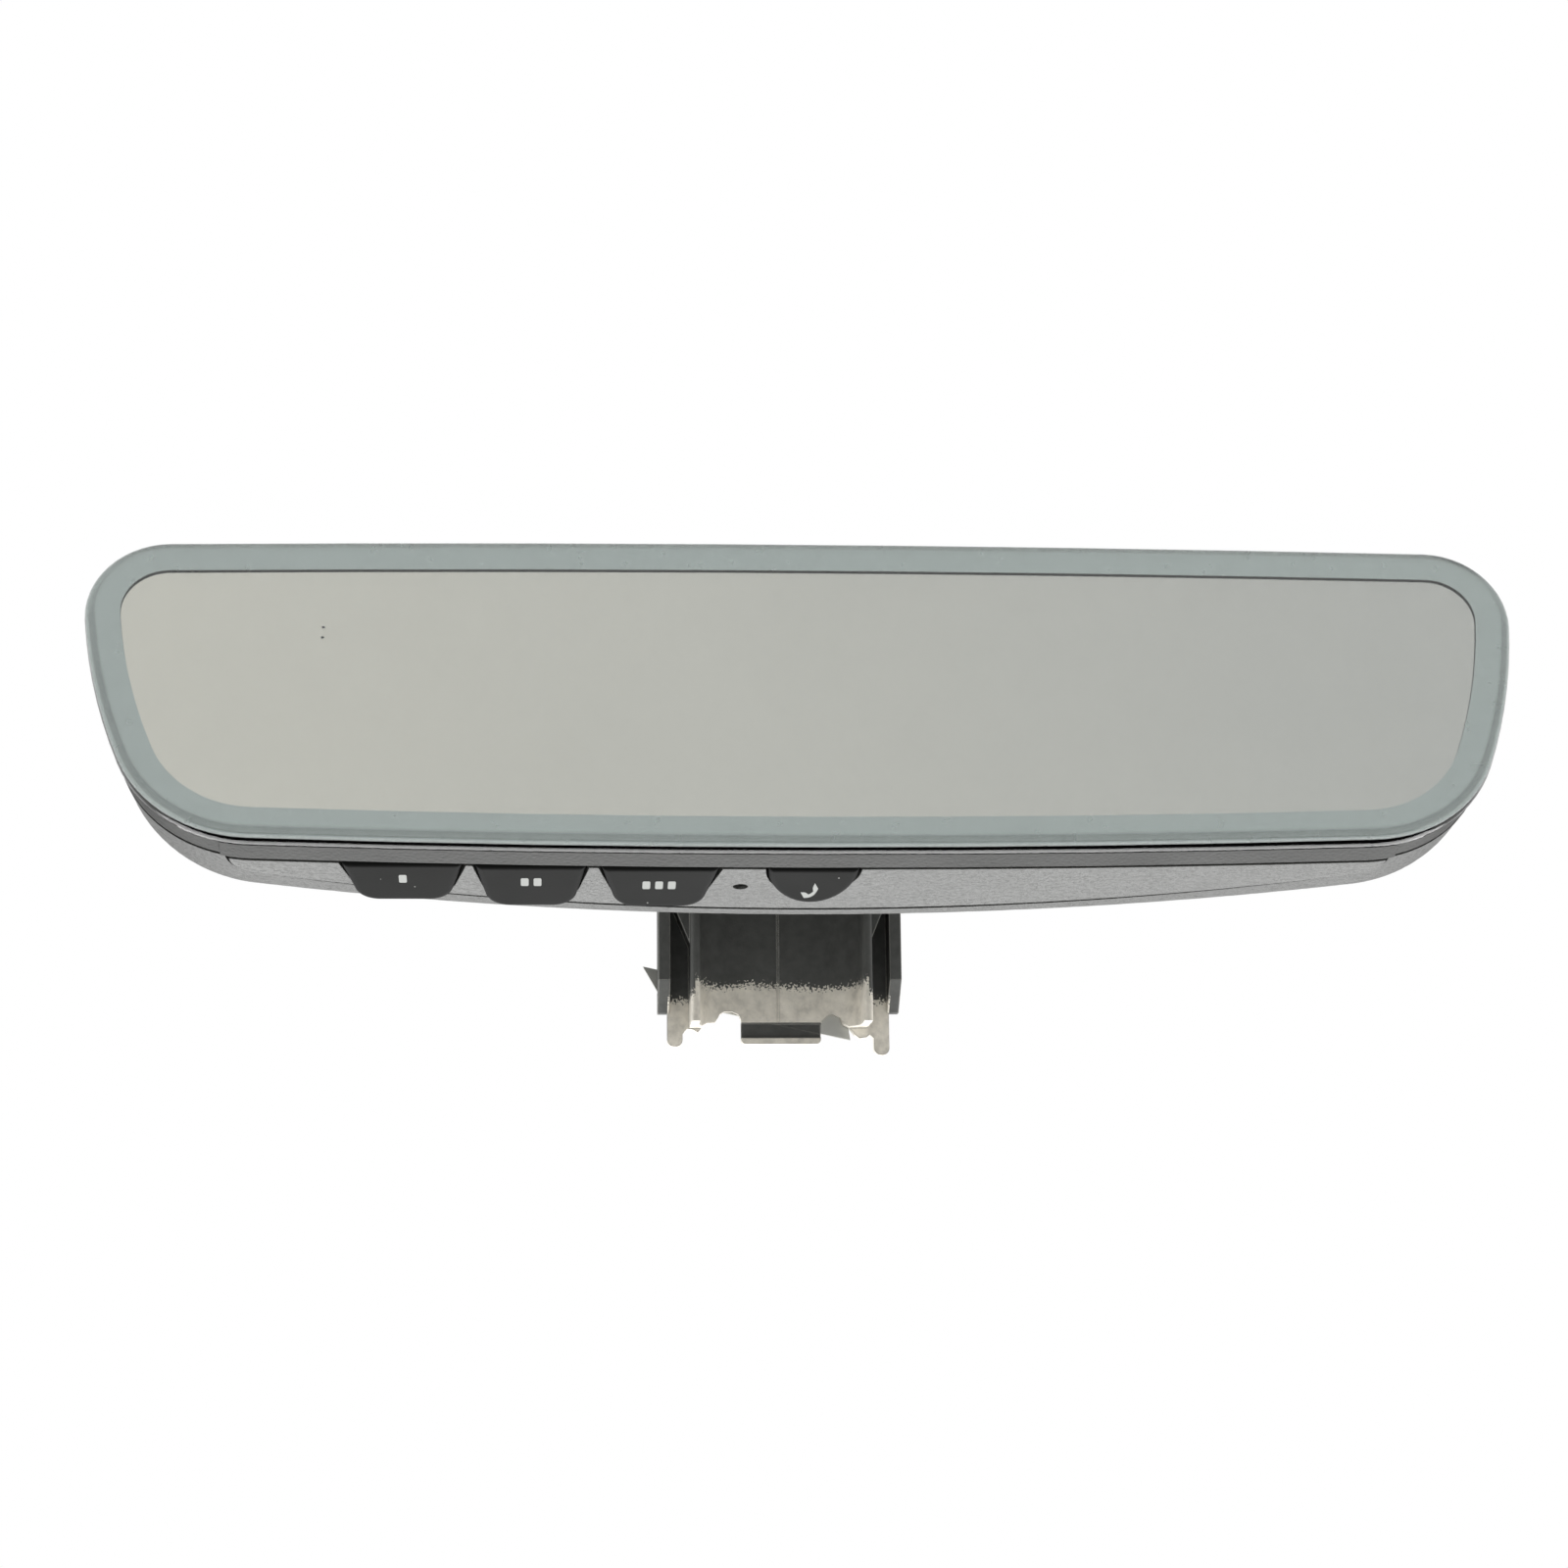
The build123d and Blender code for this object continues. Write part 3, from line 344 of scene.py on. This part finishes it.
@dataclass(frozen=True)
class MirrorCoat:
    """The dimming cell's mirror layer: bright metal seen through a faintly warm gel, toned lighter at the left and
    darker at the right as a painted reflection.

    Attributes:
        name: The material's name.
        left: sRGB hex tone at the left, the lighter end of the painted reflection.
        right: sRGB hex tone at the right, the darker end of the painted reflection.
        half_width: Half the coated width, in metres.
        pinholes: Places of the coat's pinholes, X and Z in metres.
        pinhole: Radius of a pinhole, in metres.
    """

    name: str
    left: str
    right: str
    half_width: float
    pinholes: tuple[tuple[float, float], ...] = ()
    pinhole: float = 0.3 * MM

    def build(self) -> bpy.types.Material:
        """Build the node material.

        Returns:
            The material.
        """
        graph = Graph.fresh(self.name)
        at = graph.add("ShaderNodeTexCoord").outputs["Object"]
        axes = graph.add("ShaderNodeSeparateXYZ", None, {"Vector": at})
        haze = graph.add("ShaderNodeTexNoise", {"Scale": per_mm(38), "Detail": 3.0}, {"Vector": at})
        # Painted reflection: the tone runs from the left colour to the right one across the coat, with a little
        # haze on top.
        across = graph.add("ShaderNodeMapRange", {"From Min": -self.half_width, "From Max": self.half_width},
                           {"Value": axes.outputs["X"]})
        drift = graph.add("ShaderNodeMath", {"operation": "MULTIPLY_ADD", 1: 0.12},
                          {0: haze.outputs["Fac"], 2: across.outputs["Result"]})
        tone = graph.add("ShaderNodeValToRGB", {"stops": [(0.0, linear(self.left)), (1.0, linear(self.right))]},
                         {"Fac": drift.outputs["Value"]}).outputs["Color"]
        level = graph.add("ShaderNodeVectorMath", {"operation": "MULTIPLY", 1: (1.0, 0.0, 1.0)}, {0: at})
        for x, z in self.pinholes:
            away = graph.add("ShaderNodeVectorMath", {"operation": "DISTANCE", 1: (x, 0.0, z)},
                             {0: level.outputs["Vector"]})
            hole = graph.add("ShaderNodeMath", {"operation": "LESS_THAN", 1: self.pinhole},
                             {0: away.outputs["Value"]})
            tone = graph.add("ShaderNodeMix", {"data_type": "RGBA", 7: linear("2A2B2A")},
                             {"Factor": hole.outputs["Value"], 6: tone}).outputs[2]
        rough = graph.add("ShaderNodeMapRange", {"To Min": 0.02, "To Max": 0.06},
                          {"Value": haze.outputs["Fac"]})
        shape = graph.add("ShaderNodeNewGeometry")
        shader = graph.add("ShaderNodeBsdfPrincipled", {"Metallic": 1.0},
                           {"Base Color": tone, "Roughness": rough.outputs["Result"],
                            "Normal": shape.outputs["True Normal"]})
        graph.add("ShaderNodeOutputMaterial", None, {"Surface": shader.outputs["BSDF"]})
        return graph.material


@dataclass(frozen=True)
class ClearLayer:
    """The dimming gel at rest: it only lets the mirror layer through.

    Attributes:
        name: The material's name.
        tint: Its sRGB hex tint.
    """

    name: str
    tint: str

    def build(self) -> bpy.types.Material:
        """Build the node material.

        Returns:
            The material.
        """
        graph = Graph.fresh(self.name)
        at = graph.add("ShaderNodeTexCoord").outputs["Object"]
        veil = graph.add("ShaderNodeTexNoise", {"Scale": per_mm(60)}, {"Vector": at})
        base = linear(self.tint)
        tone = graph.add("ShaderNodeValToRGB", {"stops": [(0.3, base), (0.7, shade(base, 0.995))]},
                         {"Fac": veil.outputs["Fac"]})
        shader = graph.add("ShaderNodeBsdfTransparent", None, {"Color": tone.outputs["Color"]})
        graph.add("ShaderNodeOutputMaterial", None, {"Surface": shader.outputs["BSDF"]})
        return graph.material


@dataclass(frozen=True)
class DieCastZinc:
    """Die-cast zinc, painted dark inside and left bare where the spray faded out at its foot.

    Attributes:
        name: The material's name.
        paint: sRGB hex colour of the paint.
        bare: sRGB hex colour of the bare metal.
        worn: sRGB hex colour of its rubbed edges.
        rake: The seat's lean from the vertical, in degrees.
        line: How far down the seat the paint ends, in metres.
        fade: Half the width of the speckled band, in metres.
        recess: The recess in the tab, drawn dark in the paint's colour: half width, upper and lower edge down the
            seat, in metres.
        walls: Where the side walls start and end from the middle, and how much lower their paint ends.
    """

    name: str
    paint: str
    bare: str
    worn: str
    rake: float
    line: float
    fade: float
    recess: tuple[float, float, float]
    walls: tuple[float, float, float]

    def build(self) -> bpy.types.Material:
        """Build the node material.

        Returns:
            The material.
        """
        graph = Graph.fresh(self.name)
        at = graph.add("ShaderNodeTexCoord").outputs["Object"]
        lean = math.radians(self.rake)
        down = graph.add("ShaderNodeVectorMath",
                         {"operation": "DOT_PRODUCT", 1: (0.0, math.sin(lean), -math.cos(lean))},
                         {0: at}).outputs["Value"]
        drift = graph.add("ShaderNodeTexNoise", {"Scale": per_mm(9), "Detail": 3.0}, {"Vector": at})
        speck = graph.add("ShaderNodeTexNoise", {"Scale": per_mm(0.45), "Detail": 1.0, "Roughness": 0.7},
                          {"Vector": at})
        wander = graph.add("ShaderNodeMath", {"operation": "MULTIPLY_ADD", 1: 0.004},
                           {0: drift.outputs["Fac"], 2: down})
        spot = graph.add("ShaderNodeMapRange",
                         {"From Min": 0.25, "From Max": 0.75, "To Min": -self.fade, "To Max": self.fade},
                         {"Value": speck.outputs["Fac"]})
        edge = graph.add("ShaderNodeMath", {"operation": "ADD"},
                         {0: wander.outputs["Value"], 1: spot.outputs["Result"]})
        axes = graph.add("ShaderNodeSeparateXYZ", None, {"Vector": at})
        aside = graph.add("ShaderNodeMath", {"operation": "ABSOLUTE"}, {0: axes.outputs["X"]})
        start, end, lower_by = self.walls
        wall = graph.add("ShaderNodeMath", {"operation": "GREATER_THAN", 1: start},
                         {0: aside.outputs["Value"]})
        edge = graph.add("ShaderNodeMath", {"operation": "MULTIPLY_ADD", 1: -lower_by},
                         {0: wall.outputs["Value"], 2: edge.outputs["Value"]})
        inside = graph.add("ShaderNodeMath", {"operation": "LESS_THAN", 1: end},
                           {0: aside.outputs["Value"]})
        bare = graph.add("ShaderNodeMapRange",
                         {"From Min": self.line + 0.0018, "From Max": self.line + 0.0022},
                         {"Value": edge.outputs["Value"]}).outputs["Result"]
        bare = graph.add("ShaderNodeMath", {"operation": "MULTIPLY"},
                         {0: bare, 1: inside.outputs["Value"]}).outputs["Value"]
        # The tab's recess is drawn dark in the paint's colour, not left bare.
        half, upper, lower = self.recess
        middle = graph.add("ShaderNodeMath", {"operation": "COMPARE", 1: (upper + lower) / 2,
                                              2: (lower - upper) / 2}, {0: down})
        within = graph.add("ShaderNodeMath", {"operation": "COMPARE", 1: 0.0005, 2: half},
                           {0: axes.outputs["X"]})
        pocket = graph.add("ShaderNodeMath", {"operation": "MULTIPLY"},
                           {0: middle.outputs["Value"], 1: within.outputs["Value"]})
        bare = graph.add("ShaderNodeMath", {"operation": "SUBTRACT", "use_clamp": True},
                         {0: bare, 1: pocket.outputs["Value"]}).outputs["Value"]
        flow = graph.add("ShaderNodeTexNoise", {"Scale": per_mm(2.5), "Detail": 5.0, "Roughness": 0.6},
                         {"Vector": at}).outputs["Fac"]
        metal = graph.add("ShaderNodeValToRGB", {"stops": [
            (0.3, shade(linear(self.bare), 0.78)), (0.5, linear(self.bare)),
            (0.7, shade(linear(self.bare), 1.15))]}, {"Fac": flow})
        coat = graph.add("ShaderNodeValToRGB", {"stops": [
            (0.3, shade(linear(self.paint), 0.85)), (0.7, shade(linear(self.paint), 1.2))]}, {"Fac": flow})
        tone = graph.add("ShaderNodeMix", {"data_type": "RGBA"},
                         {"Factor": bare, 6: coat.outputs["Color"], 7: metal.outputs["Color"]})
        # Rubbed edges: where a softened normal leaves the true one, broken up by the casting's grain.
        corner = graph.add("ShaderNodeBevel", {"samples": 6, "Radius": 0.5 * MM})
        shape = graph.add("ShaderNodeNewGeometry")
        turn = graph.add("ShaderNodeVectorMath", {"operation": "DOT_PRODUCT"},
                         {0: corner.outputs["Normal"], 1: shape.outputs["Normal"]})
        rub = graph.add("ShaderNodeMath", {"operation": "MULTIPLY_ADD", 1: 0.25},
                        {0: flow, 2: turn.outputs["Value"]})
        worn = graph.add("ShaderNodeMapRange", {"From Min": 1.06, "From Max": 0.94, "To Max": 0.8},
                         {"Value": rub.outputs["Value"]})
        tone = graph.add("ShaderNodeMix", {"data_type": "RGBA", 7: linear(self.worn)},
                         {"Factor": worn.outputs["Result"], 6: tone.outputs[2]})
        grit = graph.add("ShaderNodeTexNoise", {"Scale": per_mm(0.35), "Detail": 2.0}, {"Vector": at})
        bump = graph.add("ShaderNodeBump", {"Strength": 1.0, "Distance": 0.03 * MM},
                         {"Height": grit.outputs["Fac"], "Normal": corner.outputs["Normal"]})
        metallic = graph.add("ShaderNodeMath", {"operation": "MULTIPLY", 1: 0.45}, {0: bare})
        rough = graph.add("ShaderNodeMapRange", {"To Min": 0.62, "To Max": 0.5}, {"Value": bare})
        shader = graph.add("ShaderNodeBsdfPrincipled", {"Specular IOR Level": 0.35},
                           {"Base Color": tone.outputs[2], "Metallic": metallic.outputs["Value"],
                            "Roughness": rough.outputs["Result"], "Normal": bump.outputs["Normal"]})
        graph.add("ShaderNodeOutputMaterial", None, {"Surface": shader.outputs["BSDF"]})
        return graph.material


class Finish(Enum):
    """The object's finishes."""

    # Charcoal ABS from a spark-eroded tool: a dull grey that goes silvery where it is seen
    # along the surface.
    # Its grain is drawn at 1 mm, about twice the real one, so that it shows.
    CASE = MouldedPlastic("grained ABS, charcoal", "3B3C3A", 0.42, 1.0, 0.22, 0.55, 0.06, 0.25)
    PANEL = MouldedPlastic("grained ABS, charcoal, fine", "40413F", 0.38, 1.0, 0.24, 0.6, 0.05, 0.25)
    # The front bezel's narrow strip: a duller plastic, painted darker as the shade that falls under the glass.
    BEZEL = MouldedPlastic("grained ABS, charcoal, painted shade", "262725", 0.5, 0.7, 0.07, 0.3, 0.06, 0.3)
    # Soft-touch paint over ABS: near black, with hardly any gloss.
    BUTTON = MouldedPlastic("soft-touch painted ABS", "0E0F0E", 0.6, 0.4, 0.008, 0.08, 0.1, 0.6, True)
    MARK = MouldedPlastic("laser-cut button mark", "A3A5A3", 0.6, 0.3, 0.003, 0.15, 0.04)
    BLACK = MouldedPlastic("moulded black nylon", "161617", 0.5, 0.8, 0.01, 0.4, 0.2)
    NYLON = MouldedPlastic("glass-filled nylon", "141415", 0.46, 0.6, 0.015, 0.45, 0.2)
    ACETAL = MouldedPlastic("natural acetal", "D8D4C4", 0.35, 0.0, 0.0, 0.5, 0.05)
    WHITE = MouldedPlastic("white nylon", "D6D6D0", 0.4, 0.0, 0.0, 0.5, 0.05)
    BOARD = MouldedPlastic("solder-masked laminate", "12402A", 0.3, 1.2, 0.02, 0.5, 0.2)
    FOAM = MouldedPlastic("closed-cell foam", "1C1C1C", 0.85, 0.5, 0.12, 0.2, 0.2)
    RUBBER = MouldedPlastic("moulded rubber", "121212", 0.7, 0.4, 0.01, 0.3, 0.2)
    SEAL = MouldedPlastic("cured epoxy", "3A3A38", 0.5, 0.0, 0.0, 0.4, 0.1)
    LENS = MouldedPlastic("smoked polycarbonate", "15171B", 0.08, 0.0, 0.0, 0.6, 0.1)
    FLOAT = FloatGlass("float glass, polished edge")
    GEL = ClearLayer("clear dimming gel", "FEFEFD")
    # Chromium film on the back of the glass: a cool, slightly milky metal.
    RING = WorkedMetal("vacuum-deposited chromium", "9FA6A4", 0.22, 2.5, 1.0, 0.0001, 0.02)
    TIN = WorkedMetal("bright tin plate", "C8C8C2", 0.25, 0.5, 6.0, 0.003)
    COPPER = WorkedMetal("tinned copper", "C9B89A", 0.3, 0.4, 4.0, 0.002)
    GOLD = WorkedMetal("gold flash on brass", "D9B25E", 0.25, 0.2, 1.0, 0.001)
    ZINC_SCREW = WorkedMetal("zinc-plated steel", "B9BAB6", 0.3, 0.2, 1.0, 0.004)
    STUD = WorkedMetal("ground steel", "A9A9A6", 0.22, 0.12, 8.0, 0.002)
    STRIP = WorkedMetal("bright spring steel", "BDBDB8", 0.36, 0.4, 5.0, 0.004)
    SPRING = WorkedMetal("blued spring steel", "6E6E6C", 0.34, 0.3, 6.0, 0.004)


@dataclass
class Palette:
    """Builds each finish once and dresses CAD nodes and pieces in it.

    Attributes:
        built: The materials made so far, by name.
    """

    built: dict[str, bpy.types.Material] = field(default_factory=dict)

    def get(self, finish: Any) -> bpy.types.Material:
        """Give a finish's material, built on first use.

        Args:
            finish: A Finish member or a finish dataclass.

        Returns:
            The material.
        """
        recipe = finish.value if isinstance(finish, Finish) else finish
        if recipe.name not in self.built:
            self.built[recipe.name] = recipe.build()
        return self.built[recipe.name]

    def dress(self, node: str, finish: Any) -> None:
        """Put a finish on a CAD node.

        Args:
            node: The CAD node's name.
            finish: A Finish member or a finish dataclass.
        """
        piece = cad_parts[node]
        material = self.get(finish)
        if not piece.data.materials:
            piece.data.materials.append(material)
        for place in range(len(piece.material_slots)):
            piece.material_slots[place].material = material


# --- Mesh helpers ---


def mesh_object(name: str, shape: bmesh.types.BMesh) -> bpy.types.Object:
    """Turn a bmesh into a flat-shaded object in the scene.

    Args:
        name: The object's name.
        shape: The mesh, in metres in the part's frame; it is freed.

    Returns:
        The object.
    """
    mesh = bpy.data.meshes.new(name)
    bmesh.ops.recalc_face_normals(shape, faces=shape.faces)
    shape.to_mesh(mesh)
    shape.free()
    piece = bpy.data.objects.new(name, mesh)
    bpy.context.collection.objects.link(piece)
    return piece


# --- Sub-assemblies ---


@dataclass
class ButtonMarks:
    """The marks cut in the buttons: one, two or three squares, and a telephone handset.

    Attributes:
        palette: Where its finish comes from.
        width: Width of a square mark, in metres.
        length: Its length back along the button, in metres; seen on the slant, it looks square.
        pitch: Distance between squares, in metres.
        set_back: From each button's front edge to the middle of its marks, in metres.
        shift: From each button's middle to the middle of its marks, in metres.
        proud: How far the marks stand out of the button, in metres.
        root: How far they reach into it, in metres.
        handset: Span of the handset mark, in metres.
        lean: The handset's lean, in degrees.
    """

    palette: Palette
    width: float = 1.38 * MM
    length: float = 2.75 * MM
    pitch: float = 2.26 * MM
    set_back: tuple[float, float, float, float] = (5.6 * MM, 5.9 * MM, 6.45 * MM, 8.6 * MM)
    shift: tuple[float, float, float, float] = (-0.06 * MM, 0.02 * MM, -0.14 * MM, -0.2 * MM)
    proud: float = 0.03 * MM
    root: float = 0.4 * MM
    handset: float = 2.9 * MM
    lean: float = -35.0

    def build(self) -> None:
        """Build the marks on all four buttons."""
        for number, node in enumerate(("button_one", "button_two", "button_three", "button_call")):
            low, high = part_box(node)
            x = (low[0] + high[0]) / 2 + self.shift[number]
            y = low[1] + self.set_back[number]
            shape = bmesh.new()
            if node == "button_call":
                self._slab(shape, self._handset_outline(), x, y, low[2])
            else:
                for place in range(number + 1):
                    across = (place - number / 2) * self.pitch
                    self._slab(shape, self._square_outline(), x + across, y, low[2])
            piece = mesh_object(f"mark_{node}", shape)
            piece.data.materials.append(self.palette.get(Finish.MARK))
            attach(piece, node)
            log.info("mark_%s rides on %s", node, node)

    def _square_outline(self) -> list[tuple[float, float]]:
        """Give a square mark's outline.

        Returns:
            Its corners, each with a small clip, round its own middle.
        """
        half, deep, clip = self.width / 2, self.length / 2, self.width * 0.12
        ring = [(-half + clip, -deep), (half - clip, -deep), (half, -deep + 2 * clip), (half, deep - 2 * clip)]
        return ring + [(-u, -v) for u, v in ring]

    def _handset_outline(self) -> list[tuple[float, float]]:
        """Give a plain telephone handset's outline.

        Returns:
            Its points, round its own middle: a bowed grip with a cup at each end.
        """
        span, grip, cup = self.handset / 2, self.handset * 0.2, self.handset * 0.42
        steps = 12
        outer, inner = [], []
        for step in range(steps + 1):
            t = 2 * step / steps - 1
            bow = 0.2 * self.handset * (1 - t * t)
            end = min(1.0, max(0.0, (abs(t) - 0.42) / 0.1))
            outer.append((t * span, bow + grip / 2))
            inner.append((t * span, bow - grip / 2 - (cup - grip) * end))
        stretch = self.length / self.width
        turn = math.radians(self.lean)
        ring = []
        for u, v in outer + inner[::-1]:
            ring.append((u * math.cos(turn) - v * math.sin(turn),
                         (u * math.sin(turn) + v * math.cos(turn)) * stretch))
        return ring

    def _slab(self, shape: bmesh.types.BMesh, outline: list[tuple[float, float]], x: float, y: float,
              z: float) -> None:
        """Raise an outline into a thin slab on the button's face.

        Args:
            shape: The mesh to add to.
            outline: Corners round the mark's middle, in order.
            x: Where its middle goes along X.
            y: Where its middle goes along Y.
            z: Height of the button's face.
        """
        under = [shape.verts.new((x + u, y + v, z - self.proud)) for u, v in outline]
        over = [shape.verts.new((x + u, y + v, z + self.root)) for u, v in outline]
        shape.faces.new(under)
        shape.faces.new(over[::-1])
        for i in range(len(outline)):
            j = (i + 1) % len(outline)
            shape.faces.new((under[i], over[i], over[j], under[j]))


@dataclass
class Head:
    """The mirror's head: glass cell, case, panel and what they hold.

    Attributes:
        palette: Where its finishes come from.
        pinholes: Pinholes in the mirror coat, in metres from the cell's middle.
    """

    palette: Palette
    pinholes: tuple[tuple[float, float], ...] = ((-87.5 * MM, 13.9 * MM), (-87.6 * MM, 11.7 * MM))

    def build(self) -> None:
        """Dress the head's CAD nodes."""
        low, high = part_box("glass_rear")
        middle = (low[2] + high[2]) / 2
        pinholes = tuple((x, middle + z) for x, z in self.pinholes)
        # The coat's tones, pale warm grey at the left to darker grey at the right, are a painted reflection of the
        # surroundings.
        coat = MirrorCoat("silver mirror coat, dimming cell", "C7C2BC", "B1AFAE", high[0], pinholes)
        self.palette.dress("glass_rear", coat)
        for node, finish in {
            "glass_front": Finish.FLOAT, "perimeter_ring": Finish.RING, "cell_seal": Finish.SEAL,
            "ec_gel": Finish.GEL, "bus_clips": Finish.COPPER, "foam_pad": Finish.FOAM,
            "front_bezel": Finish.BEZEL, "rear_housing": Finish.CASE, "switch_panel": Finish.PANEL,
            "button_one": Finish.BUTTON, "button_two": Finish.BUTTON, "button_three": Finish.BUTTON,
            "button_call": Finish.BUTTON, "plunger_one": Finish.WHITE, "plunger_two": Finish.WHITE,
            "plunger_three": Finish.WHITE, "plunger_call": Finish.WHITE, "tact_switches": Finish.BLACK,
            "switch_board": Finish.BOARD, "circuit_board": Finish.BOARD, "microphone": Finish.TIN,
            "microphone_boot": Finish.RUBBER, "board_screws": Finish.ZINC_SCREW, "radio_shield": Finish.TIN,
            "control_chips": Finish.BLACK, "glare_sensor": Finish.LENS, "ambient_sensor": Finish.LENS,
            "wire_header": Finish.BLACK, "header_pins": Finish.GOLD, "board_link": Finish.BLACK,
            "pivot_base": Finish.NYLON, "pivot_collar": Finish.NYLON, "pivot_screws": Finish.ZINC_SCREW,
            "ball_liner": Finish.ACETAL, "clamp_spring": Finish.SPRING,
        }.items():
            self.palette.dress(node, finish)
            log.info("%s is %s", node, finish.value.name)


@dataclass
class Bracket:
    """The windscreen bracket with its ball stud and spring strip.

    Attributes:
        palette: Where its finishes come from.
        rake: The seat's lean from the vertical, in degrees.
        paint_line: How far down the seat the paint ends, in metres.
        paint_fade: Half the width of the speckled band, in metres.
        recess: The tab's recess, drawn dark in the paint's colour: half width, upper and lower edge down the seat,
            in metres.
        walls: Where the side walls start and end from the middle, and how much lower their paint ends.
    """

    palette: Palette
    rake: float = 20.0
    paint_line: float = 13.8 * MM
    paint_fade: float = 1.5 * MM
    recess: tuple[float, float, float] = (8.2 * MM, 20.9 * MM, 24.1 * MM)
    walls: tuple[float, float, float] = (17.5 * MM, 22.7 * MM, 2.6 * MM)

    def build(self) -> None:
        """Dress the bracket's CAD nodes."""
        casting = DieCastZinc("die-cast zinc, part painted", "494A48", "E0DBD0", "B5B4AE", self.rake,
                              self.paint_line, self.paint_fade, self.recess, self.walls)
        self.palette.dress("mount_casting", casting)
        self.palette.dress("ball_stud", Finish.STUD)
        self.palette.dress("retaining_spring", Finish.STRIP)
        log.info("mount_casting is %s", casting.name)


@dataclass
class Studio:
    """Floor, lights and camera.

    Attributes:
        azimuth: Camera's turn round the glass, in degrees; 0 looks along +Y.
        elevation: Camera's height over the glass's middle, in degrees.
        roll: Camera's roll, in degrees.
        distance: From the camera to what it looks at, in metres.
        aim: What it looks at, from the middle of the glass's front, in metres.
        lens: Focal length in millimetres on a 36 mm sensor.
        floor_drop: How far the floor lies under the head, in metres.
        sheen_at: Middle of the softbox that lights the underside, in metres from the glass's middle.
        sheen_size: Its width and depth, in metres.
        sheen_power: Its power, in watts.
        card_size: Width and depth of the black cards, in metres.
        card_at: Where the cards lie, in metres from the glass's middle.
    """

    azimuth: float = -4.71
    elevation: float = -31.0
    roll: float = -2.24
    distance: float = 582 * MM
    aim: tuple[float, float, float] = (-5.64 * MM, 0.0, -20.10 * MM)
    lens: float = 75.95
    floor_drop: float = 420 * MM
    sheen_at: tuple[float, float, float] = (0.0, 420 * MM, -330 * MM)
    sheen_size: tuple[float, float] = (1300 * MM, 500 * MM)
    sheen_power: float = 6.5
    card_size: tuple[float, float] = (900 * MM, 190 * MM)
    card_at: tuple[tuple[float, float, float], ...] = ((0.0, -230 * MM, -330 * MM), (0.0, 40 * MM, -260 * MM))

    def build(self) -> None:
        """Build the studio."""
        self._camera()
        self._world()
        self._floor()
        self._softbox()
        self._cards()

    def _camera(self) -> None:
        """Stand the camera where the object is seen from below and in front."""
        low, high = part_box("glass_front")
        target = Vector((0.0, low[1], (low[2] + high[2]) / 2)) + Vector(self.aim)
        turn, lift, roll = (math.radians(v) for v in (self.azimuth, self.elevation, self.roll))
        back = Vector((math.sin(turn) * math.cos(lift), -math.cos(turn) * math.cos(lift), math.sin(lift)))
        right = Vector((math.cos(turn), math.sin(turn), 0.0))
        up = back.cross(right)
        leaned = right * math.cos(roll) + up * math.sin(roll)
        raised = up * math.cos(roll) - right * math.sin(roll)
        data = bpy.data.cameras.new("camera")
        data.lens = self.lens
        data.sensor_width = 36.0
        data.clip_start = 0.01
        camera = bpy.data.objects.new("camera", data)
        camera.matrix_world = Matrix.Translation(target + back * self.distance) @ Matrix(
            (leaned, raised, back)).transposed().to_4x4()
        bpy.context.collection.objects.link(camera)
        bpy.context.scene.camera = camera

    def _softbox(self) -> None:
        """Stand a softbox low behind the object, where only its sheen is seen."""
        low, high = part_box("glass_front")
        middle = Vector((0.0, low[1], (low[2] + high[2]) / 2))
        data = bpy.data.lights.new("underside_softbox", "AREA")
        data.shape = "RECTANGLE"
        data.size, data.size_y = self.sheen_size
        data.energy = self.sheen_power
        light = bpy.data.objects.new("underside_softbox", data)
        light.location = middle + Vector(self.sheen_at)
        light.rotation_euler = (middle - light.location).to_track_quat("-Z", "Y").to_euler()
        light.visible_camera = False
        bpy.context.collection.objects.link(light)

    def _cards(self) -> None:
        """Lay black cards below, whose reflections draw bands along the glass's polished edge, over the reflection
        bands painted into the glass.
        """
        low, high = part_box("glass_front")
        middle = Vector((0.0, low[1], (low[2] + high[2]) / 2))
        black = MouldedPlastic("black studio card", "1C1C1C", 0.9, 0.0, 0.0, 0.1, 0.05).build()
        for number, place in enumerate(self.card_at):
            shape = bmesh.new()
            bmesh.ops.create_grid(shape, x_segments=2, y_segments=2, size=0.5)
            card = mesh_object(f"studio_card_{number}", shape)
            card.scale = (*self.card_size, 1.0)
            card.location = middle + Vector(place)
            card.data.materials.append(black)
            card.visible_camera = False
            card.visible_diffuse = False
            card.visible_shadow = False
            card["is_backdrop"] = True

    def _world(self) -> None:
        """Light the scene with an even white surround."""
        scene = bpy.context.scene
        scene.view_settings.view_transform = "Standard"
        world = bpy.data.worlds.new("studio")
        world.use_nodes = True
        world.node_tree.nodes["Background"].inputs["Color"].default_value = (1, 1, 1, 1)
        world.node_tree.nodes["Background"].inputs["Strength"].default_value = 1.0
        scene.world = world

    def _floor(self) -> None:
        """Lay a wide pale floor well under the camera."""
        shape = bmesh.new()
        bmesh.ops.create_grid(shape, x_segments=8, y_segments=8, size=4.0)
        floor = mesh_object("studio_floor", shape)
        low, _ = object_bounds()
        floor.location.z = low[2] - self.floor_drop
        floor.data.materials.append(
            MouldedPlastic("painted studio floor", "F4F4F2", 0.8, 0.0, 0.0, 0.2, 0.01).build())
        floor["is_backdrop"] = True


def main() -> None:
    """Build every sub-assembly in order."""
    logging.basicConfig(level=logging.INFO, format="%(message)s")
    palette = Palette()
    Head(palette).build()
    ButtonMarks(palette).build()
    Bracket(palette).build()
    Studio().build()


if __name__ == "__main__":
    main()
